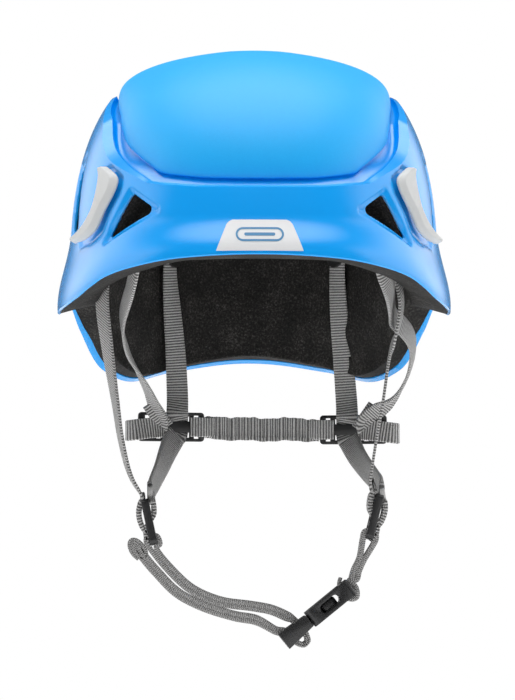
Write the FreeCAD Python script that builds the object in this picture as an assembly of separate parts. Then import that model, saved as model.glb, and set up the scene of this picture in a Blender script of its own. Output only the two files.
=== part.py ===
import FreeCAD, Part
import math
import os
from FreeCAD import Vector

# A climbing helmet: hard lower shell, domed crown cap, foam liner, headlamp clips and a webbing harness.
# +Z is up and the front faces -Y. The origin is the head seat: the point under the crown pad where the
# top of the wearer's head rests. Lengths are millimetres. "turn" is the plan angle in degrees from the
# front (0) over the right side +X (90) to the rear (180), and "height" is measured above the front rim.

SEAT = 88.0                 # the head seat lies this far above the front rim
PLAN_POWER = 2.2            # superellipse power of the shell's plan
PLAN_CENTRE = 6.0           # Y of the plan's centre
HALF_WIDTH = 103.5
FRONT_LENGTH = 133.0
REAR_LENGTH = 122.0
DOME_WIDE = 128.0           # height at which the side profile would close
DOME_LONG = 126.0
RING_POINTS = 72

SHELL_WALL = 1.5
CAP_WALL = 2.0
LINER_GAP = 0.3
APEX = (0.0, -2.0, 126.8)   # top of the crown cap
LIP_TOP = 1.2               # width of the ridge above the lower shell
CHANNEL_DEPTH = 2.5
SHELL_TOP_DROP = 4.6        # the inner skins end this far below the lip, under the channel's floor
LINER_TOP_DROP = 5.4

HEAD_HALF_WIDTH = 80.0
HEAD_HALF_LENGTH = 99.5
HEAD_CENTRE = -1.5
CEILING_SHARE = 0.985       # the cavity is cut flat at this share of its height
PAD_GAP = 1.2               # room for the hook-and-loop patch behind each pad
PAD_THICK = 4.6
HEAD_TOP = SEAT / CEILING_SHARE + PAD_GAP + PAD_THICK
HEAD_FLARE = 8.0            # the liner's mouth opens by this much at the sides
FLARE_HEIGHT = 32.0

WEBBING = 13.0
WEBBING_THICK = 1.6
RELIEF = 0.5                # room around the webbing inside the liner

# Profiles around the shell, as (turn, height) or (turn, size), read by graded().
RIM = [(0, 0), (20, -1.4), (36, -4.9), (46, -8.4), (54, -13), (62, -17.5), (75, -20.5), (88, -21),
       (97, -14), (106, -28), (120, -48), (135, -54), (155, -47), (180, -41)]
LIP = [(0, 37.4), (15, 38), (23, 39.4), (33, 42), (38, 46.5), (46, 54), (54, 62.5), (60, 72), (67, 85),
       (90, 102.6), (120, 102), (150, 96), (180, 89)]
CHANNEL_WIDTH = [(0, 10), (45, 11), (58, 11), (66, 9), (90, 3), (135, 5), (180, 8)]
CHANNEL_RISE = [(0, 5.5), (45, 6), (58, 5), (66, 2), (90, 0.5), (135, 2), (180, 3)]
CAP_POWER = [(0, 1.85), (90, 2.05), (180, 1.95)]
FLARE_SIZE = [(0, 7), (88, 7.5), (100, 1.5), (110, 0)]
FLARE_REACH = [(0, 22), (45, 28), (90, 45)]
MOUTH = [(0, 0), (22, 0), (46, -4.5), (70, -11), (86, -17), (97, -12), (108, -27), (120, -45),
         (135, -51), (155, -44), (180, -38)]


def graded(table, turn):
    """A smooth monotone curve through a table, taken alike on both sides of the helmet."""
    place = turn % 360
    if place > 180:
        place = 360 - place
    if place <= table[0][0]:
        return table[0][1]
    if place >= table[-1][0]:
        return table[-1][1]
    slopes = []
    for (x0, y0), (x1, y1) in zip(table, table[1:]):
        slopes.append((y1 - y0) / (x1 - x0))
    grades = [0.0] * len(table)
    for i in range(1, len(table) - 1):
        product = slopes[i - 1] * slopes[i]
        if product > 0:
            grades[i] = 2 * product / (slopes[i - 1] + slopes[i])
    i = max(k for k in range(len(table) - 1) if table[k][0] <= place)
    x0, y0 = table[i]
    x1, y1 = table[i + 1]
    span = x1 - x0
    u = (place - x0) / span
    ends = y0 * (1 + 2 * u) * (1 - u) ** 2 + y1 * u * u * (3 - 2 * u)
    return ends + span * (grades[i] * u * (1 - u) ** 2 + grades[i + 1] * u * u * (u - 1))


def eased(value):
    value = max(0.0, min(1.0, value))
    return value * value * (3 - 2 * value)


def profile(height, size, closing, p, q, tuck):
    """Half size of the shell at a height: it closes upward and tucks in below the rim line."""
    if height > 0:
        return size * (1 - (height / closing) ** p) ** (1 / q)
    return size - tuck * (height / 50.0) ** 2


def on_plan(turn, half_width, half_length, power):
    s = math.sin(math.radians(turn))
    c = math.cos(math.radians(turn))
    x = half_width * math.copysign(abs(s) ** (2 / power), s)
    y = -half_length * math.copysign(abs(c) ** (2 / power), c)
    return x, y


def shell_point(turn, height):
    """A point on the outside of the lower shell."""
    above = height - graded(RIM, turn)
    flare = graded(FLARE_SIZE, turn) * eased(1 - above / graded(FLARE_REACH, turn))
    half_width = profile(height, HALF_WIDTH, DOME_WIDE, 2.4, 3.2, 4.5) + flare
    if math.cos(math.radians(turn)) > 0:
        half_length = profile(height, FRONT_LENGTH, DOME_LONG, 1.9, 2.0, 0) + flare
    else:
        half_length = profile(height, REAR_LENGTH, DOME_LONG, 2.6, 2.2, 14) + flare
    x, y = on_plan(turn, half_width, half_length, PLAN_POWER)
    return Vector(x, PLAN_CENTRE + y, height - SEAT)


def shell_normal(turn, height):
    across = shell_point(turn + 0.5, height) - shell_point(turn - 0.5, height)
    upward = shell_point(turn, height + 0.5) - shell_point(turn, height - 0.5)
    return across.cross(upward).normalize()


def outward(turn, height):
    """The level outward direction of the shell."""
    normal = shell_normal(turn, height)
    return Vector(normal.x, normal.y, 0).normalize()


def inset(turn, height, depth):
    return shell_point(turn, height) - shell_normal(turn, height) * depth


def beside_lip(turn, inward, rise):
    """A point measured level inward and up from the ridge that tops the lower shell."""
    lip = graded(LIP, turn)
    return shell_point(turn, lip) - outward(turn, lip) * inward + Vector(0, 0, rise)


def cap_point(turn, elevation, inward, drop):
    """A point on the crown dome, moved inward at the edge and down at the apex by the wall."""
    width = graded(CHANNEL_WIDTH, turn) + inward
    edge = beside_lip(turn, width, graded(CHANNEL_RISE, turn))
    power = graded(CAP_POWER, turn)
    reach = math.cos(math.radians(elevation)) ** (2 / power)
    lift = math.sin(math.radians(elevation)) ** (2 / power)
    top = APEX[2] - SEAT - drop
    x = APEX[0] + (edge.x - APEX[0]) * reach
    y = APEX[1] + (edge.y - APEX[1]) * reach
    return Vector(x, y, edge.z + (top - edge.z) * lift)


def cavity_point(turn, height, depth=0.0):
    """A point on the wall of the head cavity, or a depth inside it."""
    mouth = graded(MOUTH, turn)
    flare = HEAD_FLARE * (1 - eased((height - mouth) / FLARE_HEIGHT))
    closing = 1.0
    if height > 0:
        closing = (1 - (height / HEAD_TOP) ** 2.4) ** (1 / 2.4)
    half_width = HEAD_HALF_WIDTH * closing + flare
    half_length = HEAD_HALF_LENGTH * closing + flare * 0.25
    shrink = (HEAD_TOP - depth) / HEAD_TOP
    x, y = on_plan(turn, half_width - depth * closing, half_length - depth * closing, 2.05)
    return Vector(x, HEAD_CENTRE + y, max(height, 0) * shrink + min(height, 0) - SEAT)


def ring(point_at):
    """A closed smooth curve through the points that point_at gives around the helmet."""
    points = [point_at(360.0 * i / RING_POINTS) for i in range(RING_POINTS)]
    curve = Part.BSplineCurve()
    steps = [float(i) for i in range(RING_POINTS + 1)]
    curve.interpolate(Points=points, PeriodicFlag=True, Parameters=steps)
    return Part.Wire(curve.toShape())


def skin(rings, ruled=False):
    return Part.makeLoft(rings, False, ruled).Faces


def flat_cap(closed_ring):
    return Part.makeFilledFace(closed_ring.Edges)


def closed_solid(faces):
    shell = Part.Shell(faces)
    shell.sewShape()
    solid = Part.Solid(shell)
    if solid.Volume < 0:
        solid.reverse()
    return solid


def vent_cutter(corners, radii, reach_in):
    """A prism through the shell and the liner, from corners given as (turn, height), each with its radius."""
    middle_turn = sum(c[0] for c in corners) / len(corners)
    middle_height = sum(c[1] for c in corners) / len(corners)
    normal = shell_normal(middle_turn, middle_height)
    centre = shell_point(middle_turn, middle_height) + normal * VENT_START
    points = []
    for turn, height in corners:
        point = shell_point(turn, height)
        points.append(point - normal * (point - centre).dot(normal))
    outline = Part.makePolygon(points + [points[0]])
    prism = Part.Face(outline).extrude(normal * -reach_in)
    for point, radius in zip(points, radii):
        corner = Part.Vertex(point - normal * (reach_in / 2))
        edge = min(prism.Edges, key=lambda e: e.distToShape(corner)[0])
        prism = prism.makeFillet(radius, [edge])
    return prism


VENT_START = 12.0           # the cutting prisms start this far outside the shell
VENT_REACH = 62.0           # and are this long
FRONT_VENT = [(39.8, 36.5), (30.2, 25.8), (49.6, 11.6)]
SIDE_VENT = [(74, 63), (72, 24), (86, 22), (84, 60)]
REAR_SIDE_VENT = [(111, 72), (107, 42), (126, 40), (124, 68)]
REAR_VENT = [(150, 66), (147, 40), (165, 37), (166, 62)]
VENTS = [(FRONT_VENT, (2.0, 3.0, 1.3)), (SIDE_VENT, (3.5, 3.5, 3.5, 3.5)),
         (REAR_SIDE_VENT, (4.0, 4.0, 4.0, 4.0)), (REAR_VENT, (4.0, 4.0, 4.0, 4.0))]


def vent_cutters():
    cutters = []
    for corners, radii in VENTS:
        for side in (1, -1):
            turned = [(side * turn, height) for turn, height in corners]
            cutters.append(vent_cutter(turned, radii, VENT_REACH))
    return cutters


def between(low, high, share):
    return lambda turn: graded(low, turn) + (graded(high, turn) - graded(low, turn)) * share


def skirt_rings(depth, below_lip):
    """Rings up the skirt at a depth behind its outside, the topmost one a little below the lip."""
    rings = []
    for share in (0, 0.12, 0.3, 0.5, 0.7, 0.86, 1.0):
        level = between(RIM, LIP, share)
        rings.append(ring(lambda turn, level=level, s=share: inset(turn, level(turn) - below_lip * s, depth)))
    return rings


def channel_rings(places):
    """Rings across the channel. A place is (floor shares, inward, rise shares, rise) from the lip."""
    rings = []
    for floor_share, inward, rise_share, rise in places:
        def point_at(turn):
            width = floor_share * graded(CHANNEL_WIDTH, turn) + inward
            return beside_lip(turn, width, rise_share * graded(CHANNEL_RISE, turn) + rise)
        rings.append(ring(point_at))
    return rings


FLANGE = CAP_WALL + 0.3     # the flange stands this far inside the cap's edge
FLANGE_IN = FLANGE + SHELL_WALL
FLOOR_SHARE = 0.55          # the channel's floor, as a share of its width
LINER_ROOM = 0.5            # room between the liner's dome and the cap and flange over it


def lower_shell(cutters):
    """The hard lower shell: a skirt from the rim to the lip, and a channel that runs under the cap."""
    outer = skirt_rings(0, 0)
    inner = skirt_rings(SHELL_WALL, SHELL_TOP_DROP)
    upper = channel_rings([(0, LIP_TOP, 0, 0.5), (FLOOR_SHARE, 0, 0, -CHANNEL_DEPTH), (1, FLANGE, 1, -1.0),
                           (1, FLANGE, 1, 2.0), (1, FLANGE_IN, 1, 2.0), (1, FLANGE_IN, 1, -1.9),
                           (FLOOR_SHARE, 0.6, 0, -CHANNEL_DEPTH - SHELL_WALL)])
    chain = [outer[-1]] + upper + [inner[-1]]
    faces = skin(outer) + skin(inner)
    for low, high in zip(chain, chain[1:]):
        faces += skin([low, high], True)
    faces += skin([inner[0], outer[0]], True)
    return closed_solid(faces).cut(Part.Compound(cutters))


def dome_rings(inward, drop):
    rings = []
    for elevation in (0, 3, 7, 13, 21, 32, 44, 56, 68, 78, 86):
        rings.append(ring(lambda turn, e=elevation: cap_point(turn, e, inward, drop)))
    return rings


def crown_cap():
    """The domed top shell, which drops over the flange of the lower shell."""
    outer = dome_rings(0, 0)
    inner = dome_rings(CAP_WALL, CAP_WALL)
    faces = skin(outer) + skin(inner)
    faces += skin([outer[0], inner[0]], True)
    faces += [flat_cap(outer[-1]), flat_cap(inner[-1])]
    return closed_solid(faces)


def foam_liner(cutters):
    """The energy-absorbing foam: it fills the shells and leaves the head cavity open below."""
    outer = skirt_rings(SHELL_WALL + LINER_GAP, LINER_TOP_DROP)
    shoulder = channel_rings([(FLOOR_SHARE, 1.2, 0, -CHANNEL_DEPTH - SHELL_WALL - 0.9),
                              (1, FLANGE_IN + LINER_ROOM, 1, -2.6)])
    domed = dome_rings(FLANGE_IN + LINER_ROOM, CAP_WALL + LINER_ROOM)
    chain = [outer[-1]] + shoulder + [domed[0]]
    cavity = cavity_rings()
    faces = skin(outer) + skin(domed) + skin(cavity)
    for low, high in zip(chain, chain[1:]):
        faces += skin([low, high], True)
    faces += [flat_cap(domed[-1]), flat_cap(cavity[-1])]
    faces += skin([outer[0], cavity[0]], True)
    return closed_solid(faces).cut(Part.Compound(cutters))


def cavity_rings():
    """Rings up the cavity wall, from its mouth to its ceiling."""
    rings = []
    for share in (0, 0.08, 0.2, 0.36, 0.54, 0.7, 0.84, 0.94, CEILING_SHARE):
        rings.append(ring(lambda turn, s=share: cavity_point(turn, cavity_level(turn, s))))
    return rings


def room(depth):
    """The room inside the liner above its mouth, smaller all round by a depth."""
    rings = []
    for share in (0.02, 0.1, 0.2, 0.34, 0.49, 0.64, 0.77, 0.87, 0.95, CEILING_SHARE):
        rings.append(ring(lambda turn, s=share: cavity_point(turn, s * HEAD_TOP, depth)))
    return closed_solid(skin(rings) + [Part.Face(rings[0]), Part.Face(rings[-1])])


def lining(near, far):
    """A layer of the room between two depths from the liner."""
    return room(near).cut(room(far))


def cavity_level(turn, share):
    mouth = graded(MOUTH, turn)
    return mouth + (HEAD_TOP - mouth) * share


# Headlamp clips: a curved blade that follows the shell, standing on a foot, free at its hooked end.
# Each station is the outer edge's turn and height, the inner edge's, and the underside's lift off the shell.
CLIP_FRONT = [(51.0, 52.0, 54.5, 50.6, 1.6), (45.0, 45.2, 53.6, 46.0, 1.2), (45.6, 37.8, 54.0, 38.6, 1.0),
              (50.2, 26.6, 55.4, 30.0, 1.2), (53.2, 18.2, 58.6, 22.8, 1.8), (59.0, 13.4, 63.0, 18.2, 2.4),
              (66.0, 12.4, 67.5, 15.6, 2.8)]
CLIP_REAR = [(138.5, 56.0, 135.0, 55.0, 1.6), (144.0, 49.0, 135.5, 49.5, 1.2),
             (143.5, 42.0, 135.0, 42.5, 1.0), (139.0, 31.0, 133.6, 34.0, 1.2),
             (136.0, 22.5, 130.5, 27.0, 1.8), (130.0, 17.5, 126.0, 22.0, 2.4),
             (123.0, 16.5, 121.5, 19.5, 2.8)]
CLIP_THICK = 3.6
CLIP_BEVEL = 4.5
CLIP_BEVEL_SHARE = 0.36     # of the blade's width, at most
CLIP_BEVEL_START = 0.4      # of the blade's thickness, up its outer edge
CLIP_FOOT = 5.0
CLIP_FOOT_STATION = 1


def clip_middle(station):
    """The turn and height midway across the blade at a station."""
    outer_turn, outer_height, inner_turn, inner_height, lift = station
    return (outer_turn + inner_turn) / 2, (outer_height + inner_height) / 2


def clip_section(station):
    """A five-sided cross-section of the blade, bevelled along its outer edge."""
    outer_turn, outer_height, inner_turn, inner_height, lift = station
    middle = clip_middle(station)
    normal = shell_normal(*middle)
    across = shell_point(inner_turn, inner_height) - shell_point(outer_turn, outer_height)
    across = across - normal * across.dot(normal)
    width = across.Length
    half = across / 2
    low = shell_point(*middle) + normal * lift
    high = low + normal * CLIP_THICK
    bevel = across * (min(CLIP_BEVEL, width * CLIP_BEVEL_SHARE) / width)
    outer_mid = low - half + normal * (CLIP_THICK * CLIP_BEVEL_START)
    corners = [low - half, outer_mid, high - half + bevel, high + half, low + half]
    return Part.makePolygon(corners + [corners[0]])


def headlamp_clip(stations, side):
    turned = [(side * outer, low, side * inner, high, lift) for outer, low, inner, high, lift in stations]
    blade = Part.makeLoft([clip_section(station) for station in turned], True, True)
    foot_station = turned[CLIP_FOOT_STATION]
    middle = clip_middle(foot_station)
    normal = shell_normal(*middle)
    base = shell_point(*middle) + normal * LINER_GAP
    foot = Part.makeCylinder(CLIP_FOOT / 2, foot_station[4] + 1.0 - LINER_GAP, base, normal)
    return blade.fuse(foot)


BADGE = [(-22.6, 1.2), (22.6, 1.2), (17.2, 15.4), (14.2, 17.8), (-14.2, 17.8), (-17.2, 15.4)]
BADGE_THICK = 0.8


def front_badge():
    """A thin trapezoid plate that follows the brow; its outline is (x, height)."""
    layers = []
    for lift in (LINER_GAP, LINER_GAP + BADGE_THICK):
        rings = []
        for height in (-3, 4, 11, 18, 25):
            rings.append(ring(lambda turn, h=height, d=lift: inset(turn, h, -d)))
        layers.append(closed_solid(skin(rings) + [flat_cap(rings[0]), flat_cap(rings[-1])]))
    outline = [Vector(x, -150, height - SEAT) for x, height in BADGE]
    prism = Part.Face(Part.makePolygon(outline + [outline[0]])).extrude(Vector(0, 60, 0))
    return prism.common(layers[1]).cut(layers[0])


BROW_PAD_HALF_WIDTH = 48.0
BROW_PAD_HEIGHTS = (10.0, 34.0)
CROWN_PAD_HALF_WIDTH = 32.0
CROWN_PAD_LENGTH = (-46.0, 44.0)
PATCH_RADIUS = 8.0
BROW_PATCHES = (-36.0, -12.0, 12.0, 36.0)
CROWN_PATCHES = (-28.0, 26.0)


def brow_pad():
    """A comfort pad on the front wall of the cavity."""
    low, high = BROW_PAD_HEIGHTS
    wide = BROW_PAD_HALF_WIDTH
    reach = block((-wide, wide), (-120, -40), (low - SEAT, high - SEAT))
    return lining(PAD_GAP, PAD_GAP + PAD_THICK).common(rounded(reach, 8.0, 1))


def crown_pad():
    """A rounded pad under the ceiling of the cavity: its underside is the head seat."""
    wide = CROWN_PAD_HALF_WIDTH
    reach = block((-wide, wide), CROWN_PAD_LENGTH, (-30, 30))
    return lining(PAD_GAP, PAD_GAP + PAD_THICK).common(rounded(reach, 20.0, 2))


def hook_patches():
    """Thin round patches: four behind the brow pad and two on the crown pad."""
    low, high = BROW_PAD_HEIGHTS
    middle = (low + high) / 2 - SEAT
    reach = []
    for x in BROW_PATCHES:
        reach.append(Part.makeCylinder(PATCH_RADIUS, 80, Vector(x, -120, middle), Vector(0, 1, 0)))
    for y in CROWN_PATCHES:
        reach.append(Part.makeCylinder(PATCH_RADIUS, 60, Vector(0, y, -30)))
    layer = lining(0.3, PAD_GAP - 0.2)
    return Part.Compound([layer.common(one) for one in reach])


def block(x_range, y_range, z_range):
    size = [high - low for low, high in (x_range, y_range, z_range)]
    return Part.makeBox(size[0], size[1], size[2], Vector(x_range[0], y_range[0], z_range[0]))


def rounded(shape, radius, axis):
    """Fillets the edges that run along one axis."""
    chosen = []
    for edge in shape.Edges:
        along = edge.Vertexes[1].Point - edge.Vertexes[0].Point
        if abs(along[axis]) > 0.9 * along.Length:
            chosen.append(edge)
    return shape.makeFillet(radius, chosen)


# Harness. A webbing station is (x, y, height, facing): facing is the plan angle of the webbing's face in
# degrees, 0 facing straight out to its own side and 90 facing forward, -90 facing backward.
FRONT_LEFT = [(-83, -25, 14, 30), (-84.7, -22, -15, 32), (-82, -20, -40, 27), (-77.4, -17, -71, 16),
              (-74.2, -14, -92.5, 12), (-69.5, -11, -111, 9), (-63.5, -9, -122, 6)]
FRONT_RIGHT = [(77.5, -28, 14, 34), (79.4, -28.5, -4, 20), (81, -28, -19, 12), (78.4, -25.5, -34, 8),
               (75, -20, -46, 4), (71.5, -16, -71, 4), (67.5, -12, -95, 4), (64.8, -9.3, -116, 4)]
SIZE_LEFT = [(-63.5, -64, 16, 24), (-66, -60, 0, 20), (-69, -48, -12, 20), (-73.6, -20, -25, 18),
             (-73, 5, -35.4, 20), (-69.4, 26, -44.2, 30), (-62.8, 46, -55.5, 42), (-57.5, 61, -66, 44)]
SIZE_RIGHT = [(66, -62, 14, 52), (70, -56, -2, 50), (73.8, -44, -12, 38), (75.9, -28, -20, 28),
              (77.2, -19, -24.5, 26), (83.5, -8, -29, 24), (88.3, 4, -33.7, 24), (90.6, 16, -40, 26),
              (89.8, 32, -50.4, 30), (85.4, 48, -60.9, 38), (78.1, 60, -68.4, 50)]
REAR_LEFT = [(-47, 72.5, 26, -30), (-47.5, 74.5, 8, -34), (-46, 76.5, -14, -50), (-44, 79.5, -40, -62),
             (-43, 82.2, -70, -76), (-43, 82.2, -92, -76), (-47, 70, -99, -70), (-51.5, 45, -106, -54),
             (-54.5, 24, -113, -36), (-57.6, 4, -120, -18)]
REAR_RIGHT = [(51, 70.5, 26, -34), (50.5, 72.5, 8, -38), (51.5, 75, -14, -48), (54, 78.3, -40, -58),
              (56.3, 81.7, -71, -76), (56.5, 81.7, -93, -76), (61, 64, -101, -70), (65.5, 40, -108, -50),
              (69, 20, -114.5, -28), (71.3, 5, -118.5, -8)]
NAPE = [(-26.7, 83.5, -81, 104), (-12, 87.5, -81.5, 98), (6, 89, -82, 90), (25, 87.5, -82, 82),
        (39.9, 83, -82.5, 76)]
HANG = -8.0                 # Y of the sliders and of everything that hangs from them
CHIN_LEFT = [(-55.5, HANG, -153.5, 0), (-48, HANG, -163, 0), (-35, HANG, -175, 0), (-19, HANG, -182, 0),
             (-2, HANG, -184.5, 0), (9, HANG, -186.5, 0), (17.5, HANG, -190, 0)]
CHIN_TAIL = [(-66.5, HANG, -153.5, 0), (-62, HANG, -159, 0), (-55.5, HANG, -166.5, 0), (-44, HANG, -178, 0),
             (-30, HANG, -186.5, 0), (-12, HANG, -192, 0), (1, HANG, -194.5, 0), (8, HANG, -198, 0)]
CHIN_RIGHT = [(62.5, HANG, -150.5, 0), (60, HANG, -158, 0), (57, HANG, -164.5, 0), (55.5, HANG, -169.5, 0)]
DOUBLED = 4.2               # two layers of webbing sewn or lying together
ROLL_AT = (-67.0, HANG, -152.5)
ROLL_LEAN = math.radians(38)
BAND_THICK = 2.4


def smooth_stations(stations, steps=3):
    """Catmull-Rom stations between the given ones."""
    result = []
    last = len(stations) - 1
    for i in range(last):
        before = stations[max(i - 1, 0)]
        here = stations[i]
        after = stations[i + 1]
        beyond = stations[min(i + 2, last)]
        for k in range(steps):
            u = k / steps
            station = []
            for a, b, c, d in zip(before, here, after, beyond):
                station.append(0.5 * (2 * b + (c - a) * u + (2 * a - 5 * b + 4 * c - d) * u * u
                                      + (3 * b - a - 3 * c + d) * u ** 3))
            result.append(tuple(station))
    result.append(stations[-1])
    return result


def webbing(stations, side, thick=WEBBING_THICK, width=WEBBING):
    """A closed ribbon of webbing through its stations."""
    path = smooth_stations(stations)
    centres = [Vector(x, y, height - SEAT) for x, y, height, facing in path]
    wires = []
    for i, (x, y, height, facing) in enumerate(path):
        along = (centres[min(i + 1, len(path) - 1)] - centres[max(i - 1, 0)]).normalize()
        turn = math.radians(facing)
        face = Vector(side * math.cos(turn), -math.sin(turn), 0)
        across = along.cross(face).normalize()
        through = across.cross(along).normalize()
        a = across * (width / 2)
        b = through * (thick / 2)
        corners = [centres[i] + a + b, centres[i] - a + b, centres[i] - a - b, centres[i] + a - b]
        wires.append(Part.makePolygon(corners + [corners[0]]))
    return Part.makeLoft(wires, True, True)


ANCHOR_HEAD = 7.5
ANCHOR_HEAD_THICK = 1.6
ANCHOR_PIN = 2.5
ANCHOR_DEPTH = 9.0


def strap_anchor(stations, side):
    """A plastic stud: its head holds the end of the webbing, and its pin is barbed into the liner."""
    x, y, height, facing = stations[0]
    top = Vector(x, y, height - SEAT - WEBBING * 0.5)
    level = Vector(side * math.cos(math.radians(facing)), -math.sin(math.radians(facing)), 0)
    head_base = top - level * (WEBBING_THICK / 2 + 0.9 + ANCHOR_HEAD_THICK)
    head = Part.makeCylinder(ANCHOR_HEAD, ANCHOR_HEAD_THICK, head_base, level)
    pin = Part.makeCylinder(ANCHOR_PIN, ANCHOR_HEAD_THICK + ANCHOR_DEPTH, head_base, level)
    return head.fuse(pin)


def placed(shape, origin, x_axis, z_axis):
    """Moves a shape from its own frame to the helmet: its X and Z axes turn to the given directions."""
    x_axis = Vector(*x_axis).normalize()
    z_axis = Vector(*z_axis).normalize()
    y_axis = z_axis.cross(x_axis)
    x, y, height = origin
    move = FreeCAD.Matrix(x_axis.x, y_axis.x, z_axis.x, x,
                          x_axis.y, y_axis.y, z_axis.y, y,
                          x_axis.z, y_axis.z, z_axis.z, height - SEAT,
                          0, 0, 0, 1)
    return shape.transformed(move, True)


# Nape buckles: a plate with two level slots for the rear strap, an upright slot for the nape band on the
# inner side and two upright slots for the size strap on the outer side. Its own X runs outward.
NAPE_BUCKLE_HALF_HEIGHT = 8.5
NAPE_BUCKLE_INNER = -16.0
NAPE_BUCKLE_OUTER = 23.5
NAPE_BUCKLE_THICK = 2.4
NAPE_BUCKLE_TURN = math.radians(14)
NAPE_LEFT_AT = (-43.0, 79.5, -81.0)
NAPE_RIGHT_AT = (56.4, 79.0, -82.5)


def nape_buckle(at, side):
    half = NAPE_BUCKLE_THICK / 2
    tall = NAPE_BUCKLE_HALF_HEIGHT
    plate = block((NAPE_BUCKLE_INNER, NAPE_BUCKLE_OUTER), (-half, half), (-tall, tall))
    plate = rounded(plate, 2.0, 1)
    level_slots = [block((-7.2, 7.2), (-3, 3), (z, z + 3.0)) for z in (3.2, -6.2)]
    upright_slots = [block((x, x + 3.0), (-3, 3), (-6.8, 6.8)) for x in (-12.8, 10.0, 16.6)]
    plate = plate.cut(Part.Compound(level_slots + upright_slots))
    x_axis = (side * math.cos(NAPE_BUCKLE_TURN), -math.sin(NAPE_BUCKLE_TURN), 0)
    return placed(plate, at, x_axis, (0, 0, 1))


# Side sliders: a four-bar plate seen edge-on from the front, its width along Y.
SLIDER_HEIGHT = 26.0
SLIDER_WIDTH = 18.0
SLIDER_THICK = 2.8
SLIDER_BAR = 2.8
SLIDER_LEFT_AT = (-58.5, HANG, -138.0)
SLIDER_RIGHT_AT = (66.8, HANG, -135.0)
SLIDER_LEFT_LEAN = math.radians(12)
SLIDER_RIGHT_LEAN = math.radians(14)


def side_slider(at, side, lean):
    """The slider leans outward at its top."""
    half = SLIDER_THICK / 2
    wide = SLIDER_WIDTH / 2
    tall = SLIDER_HEIGHT / 2
    plate = block((-half, half), (-wide, wide), (-tall, tall))
    plate = rounded(plate, 3.0, 0)
    pitch = (SLIDER_HEIGHT - SLIDER_BAR) / 3
    slots = []
    for i in range(3):
        low = -SLIDER_HEIGHT / 2 + SLIDER_BAR + i * pitch
        slots.append(block((-4, 4), (-6.9, 6.9), (low, low + pitch - SLIDER_BAR)))
    plate = plate.cut(Part.Compound(slots))
    z_axis = (side * math.sin(lean), 0, math.cos(lean))
    x_axis = (math.cos(lean), 0, -side * math.sin(lean))
    return placed(plate, at, x_axis, z_axis)


# Chin buckle: a side-release buckle. Its own X runs from the plug into the socket, Y is its width and Z
# its thickness. The origin is where the plug meets the socket.
BUCKLE_AT = (30.5, HANG, -192.5)
BUCKLE_SLOPE = math.radians(39)
BUCKLE_HALF_WIDTH = 12.0
BUCKLE_HALF_THICK = 4.8
SOCKET_LENGTH = 30.0
SOCKET_DEPTH = 20.0
SOCKET_HALF_INSIDE = 9.6
SOCKET_HALF_ROOM = 2.9
WINDOW_AT = 14.5
WINDOW_HALF_LENGTH = 6.5
WINDOW_HALF_HEIGHT = 2.7
PLUG_LENGTH = 18.5
PLUG_HALF_THICK = 3.6
PLUG_END_HALF_THICK = 5.2
PRONG_LENGTH = 18.5
PRONG_ROOT = 0.6


def on_buckle(shape):
    x_axis = (math.cos(BUCKLE_SLOPE), 0, math.sin(BUCKLE_SLOPE))
    z_axis = (-math.sin(BUCKLE_SLOPE), 0, math.cos(BUCKLE_SLOPE))
    return placed(shape, BUCKLE_AT, x_axis, z_axis)


def buckle_female():
    """The socket: hollow from its mouth, with an oval window in each side and a webbing bar at its end."""
    wide = BUCKLE_HALF_WIDTH
    thick = BUCKLE_HALF_THICK
    body = block((0.4, SOCKET_LENGTH), (-wide, wide), (-thick, thick))
    body = rounded(body, 3.0, 2)
    side = SOCKET_HALF_INSIDE
    room_half = SOCKET_HALF_ROOM
    inside = block((-1, SOCKET_DEPTH), (-side, side), (-room_half, room_half))
    straight = WINDOW_HALF_LENGTH - WINDOW_HALF_HEIGHT
    tall = WINDOW_HALF_HEIGHT
    window = block((WINDOW_AT - straight, WINDOW_AT + straight), (-20, 20), (-tall, tall))
    for end in (-straight, straight):
        round_end = Part.makeCylinder(tall, 40, Vector(WINDOW_AT + end, -20, 0), Vector(0, 1, 0))
        window = window.fuse(round_end)
    slot = block((SOCKET_DEPTH + 2.4, SOCKET_DEPTH + 6.0), (-7.2, 7.2), (-10, 10))
    return on_buckle(body.cut(inside).cut(window).cut(slot))


def buckle_male():
    """The plug: a ladder of two webbing slots, flared at its end, and the middle guide tongue."""
    wide = BUCKLE_HALF_WIDTH
    corners = [(0, -PLUG_HALF_THICK), (0, PLUG_HALF_THICK), (-PLUG_LENGTH, PLUG_END_HALF_THICK),
               (-PLUG_LENGTH, -PLUG_END_HALF_THICK)]
    outline = [Vector(x, -wide, z) for x, z in corners]
    body = Part.Face(Part.makePolygon(outline + [outline[0]])).extrude(Vector(0, 2 * wide, 0))
    tongue = block((-1, 17), (-2.2, 2.2), (-2.2, 2.2))
    slots = [block((x, x + 3.6), (-7.2, 7.2), (-10, 10)) for x in (-8.0, -15.2)]
    return on_buckle(body.fuse(tongue).cut(Part.Compound(slots)))


def buckle_prong(side):
    """A sprung arm with a barb that is seen and pressed through the side window. side is -1 for the front."""
    arm = [(PRONG_ROOT, 6.2), (PRONG_ROOT, 8.6), (9.0, 7.6), (10.5, 9.2), (16.5, 9.2), (PRONG_LENGTH, 7.4),
           (PRONG_LENGTH, 5.4), (10.0, 5.2)]
    outline = [Vector(x, side * y, -2.2) for x, y in arm]
    return on_buckle(Part.Face(Part.makePolygon(outline + [outline[0]])).extrude(Vector(0, 0, 4.4)))


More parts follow.
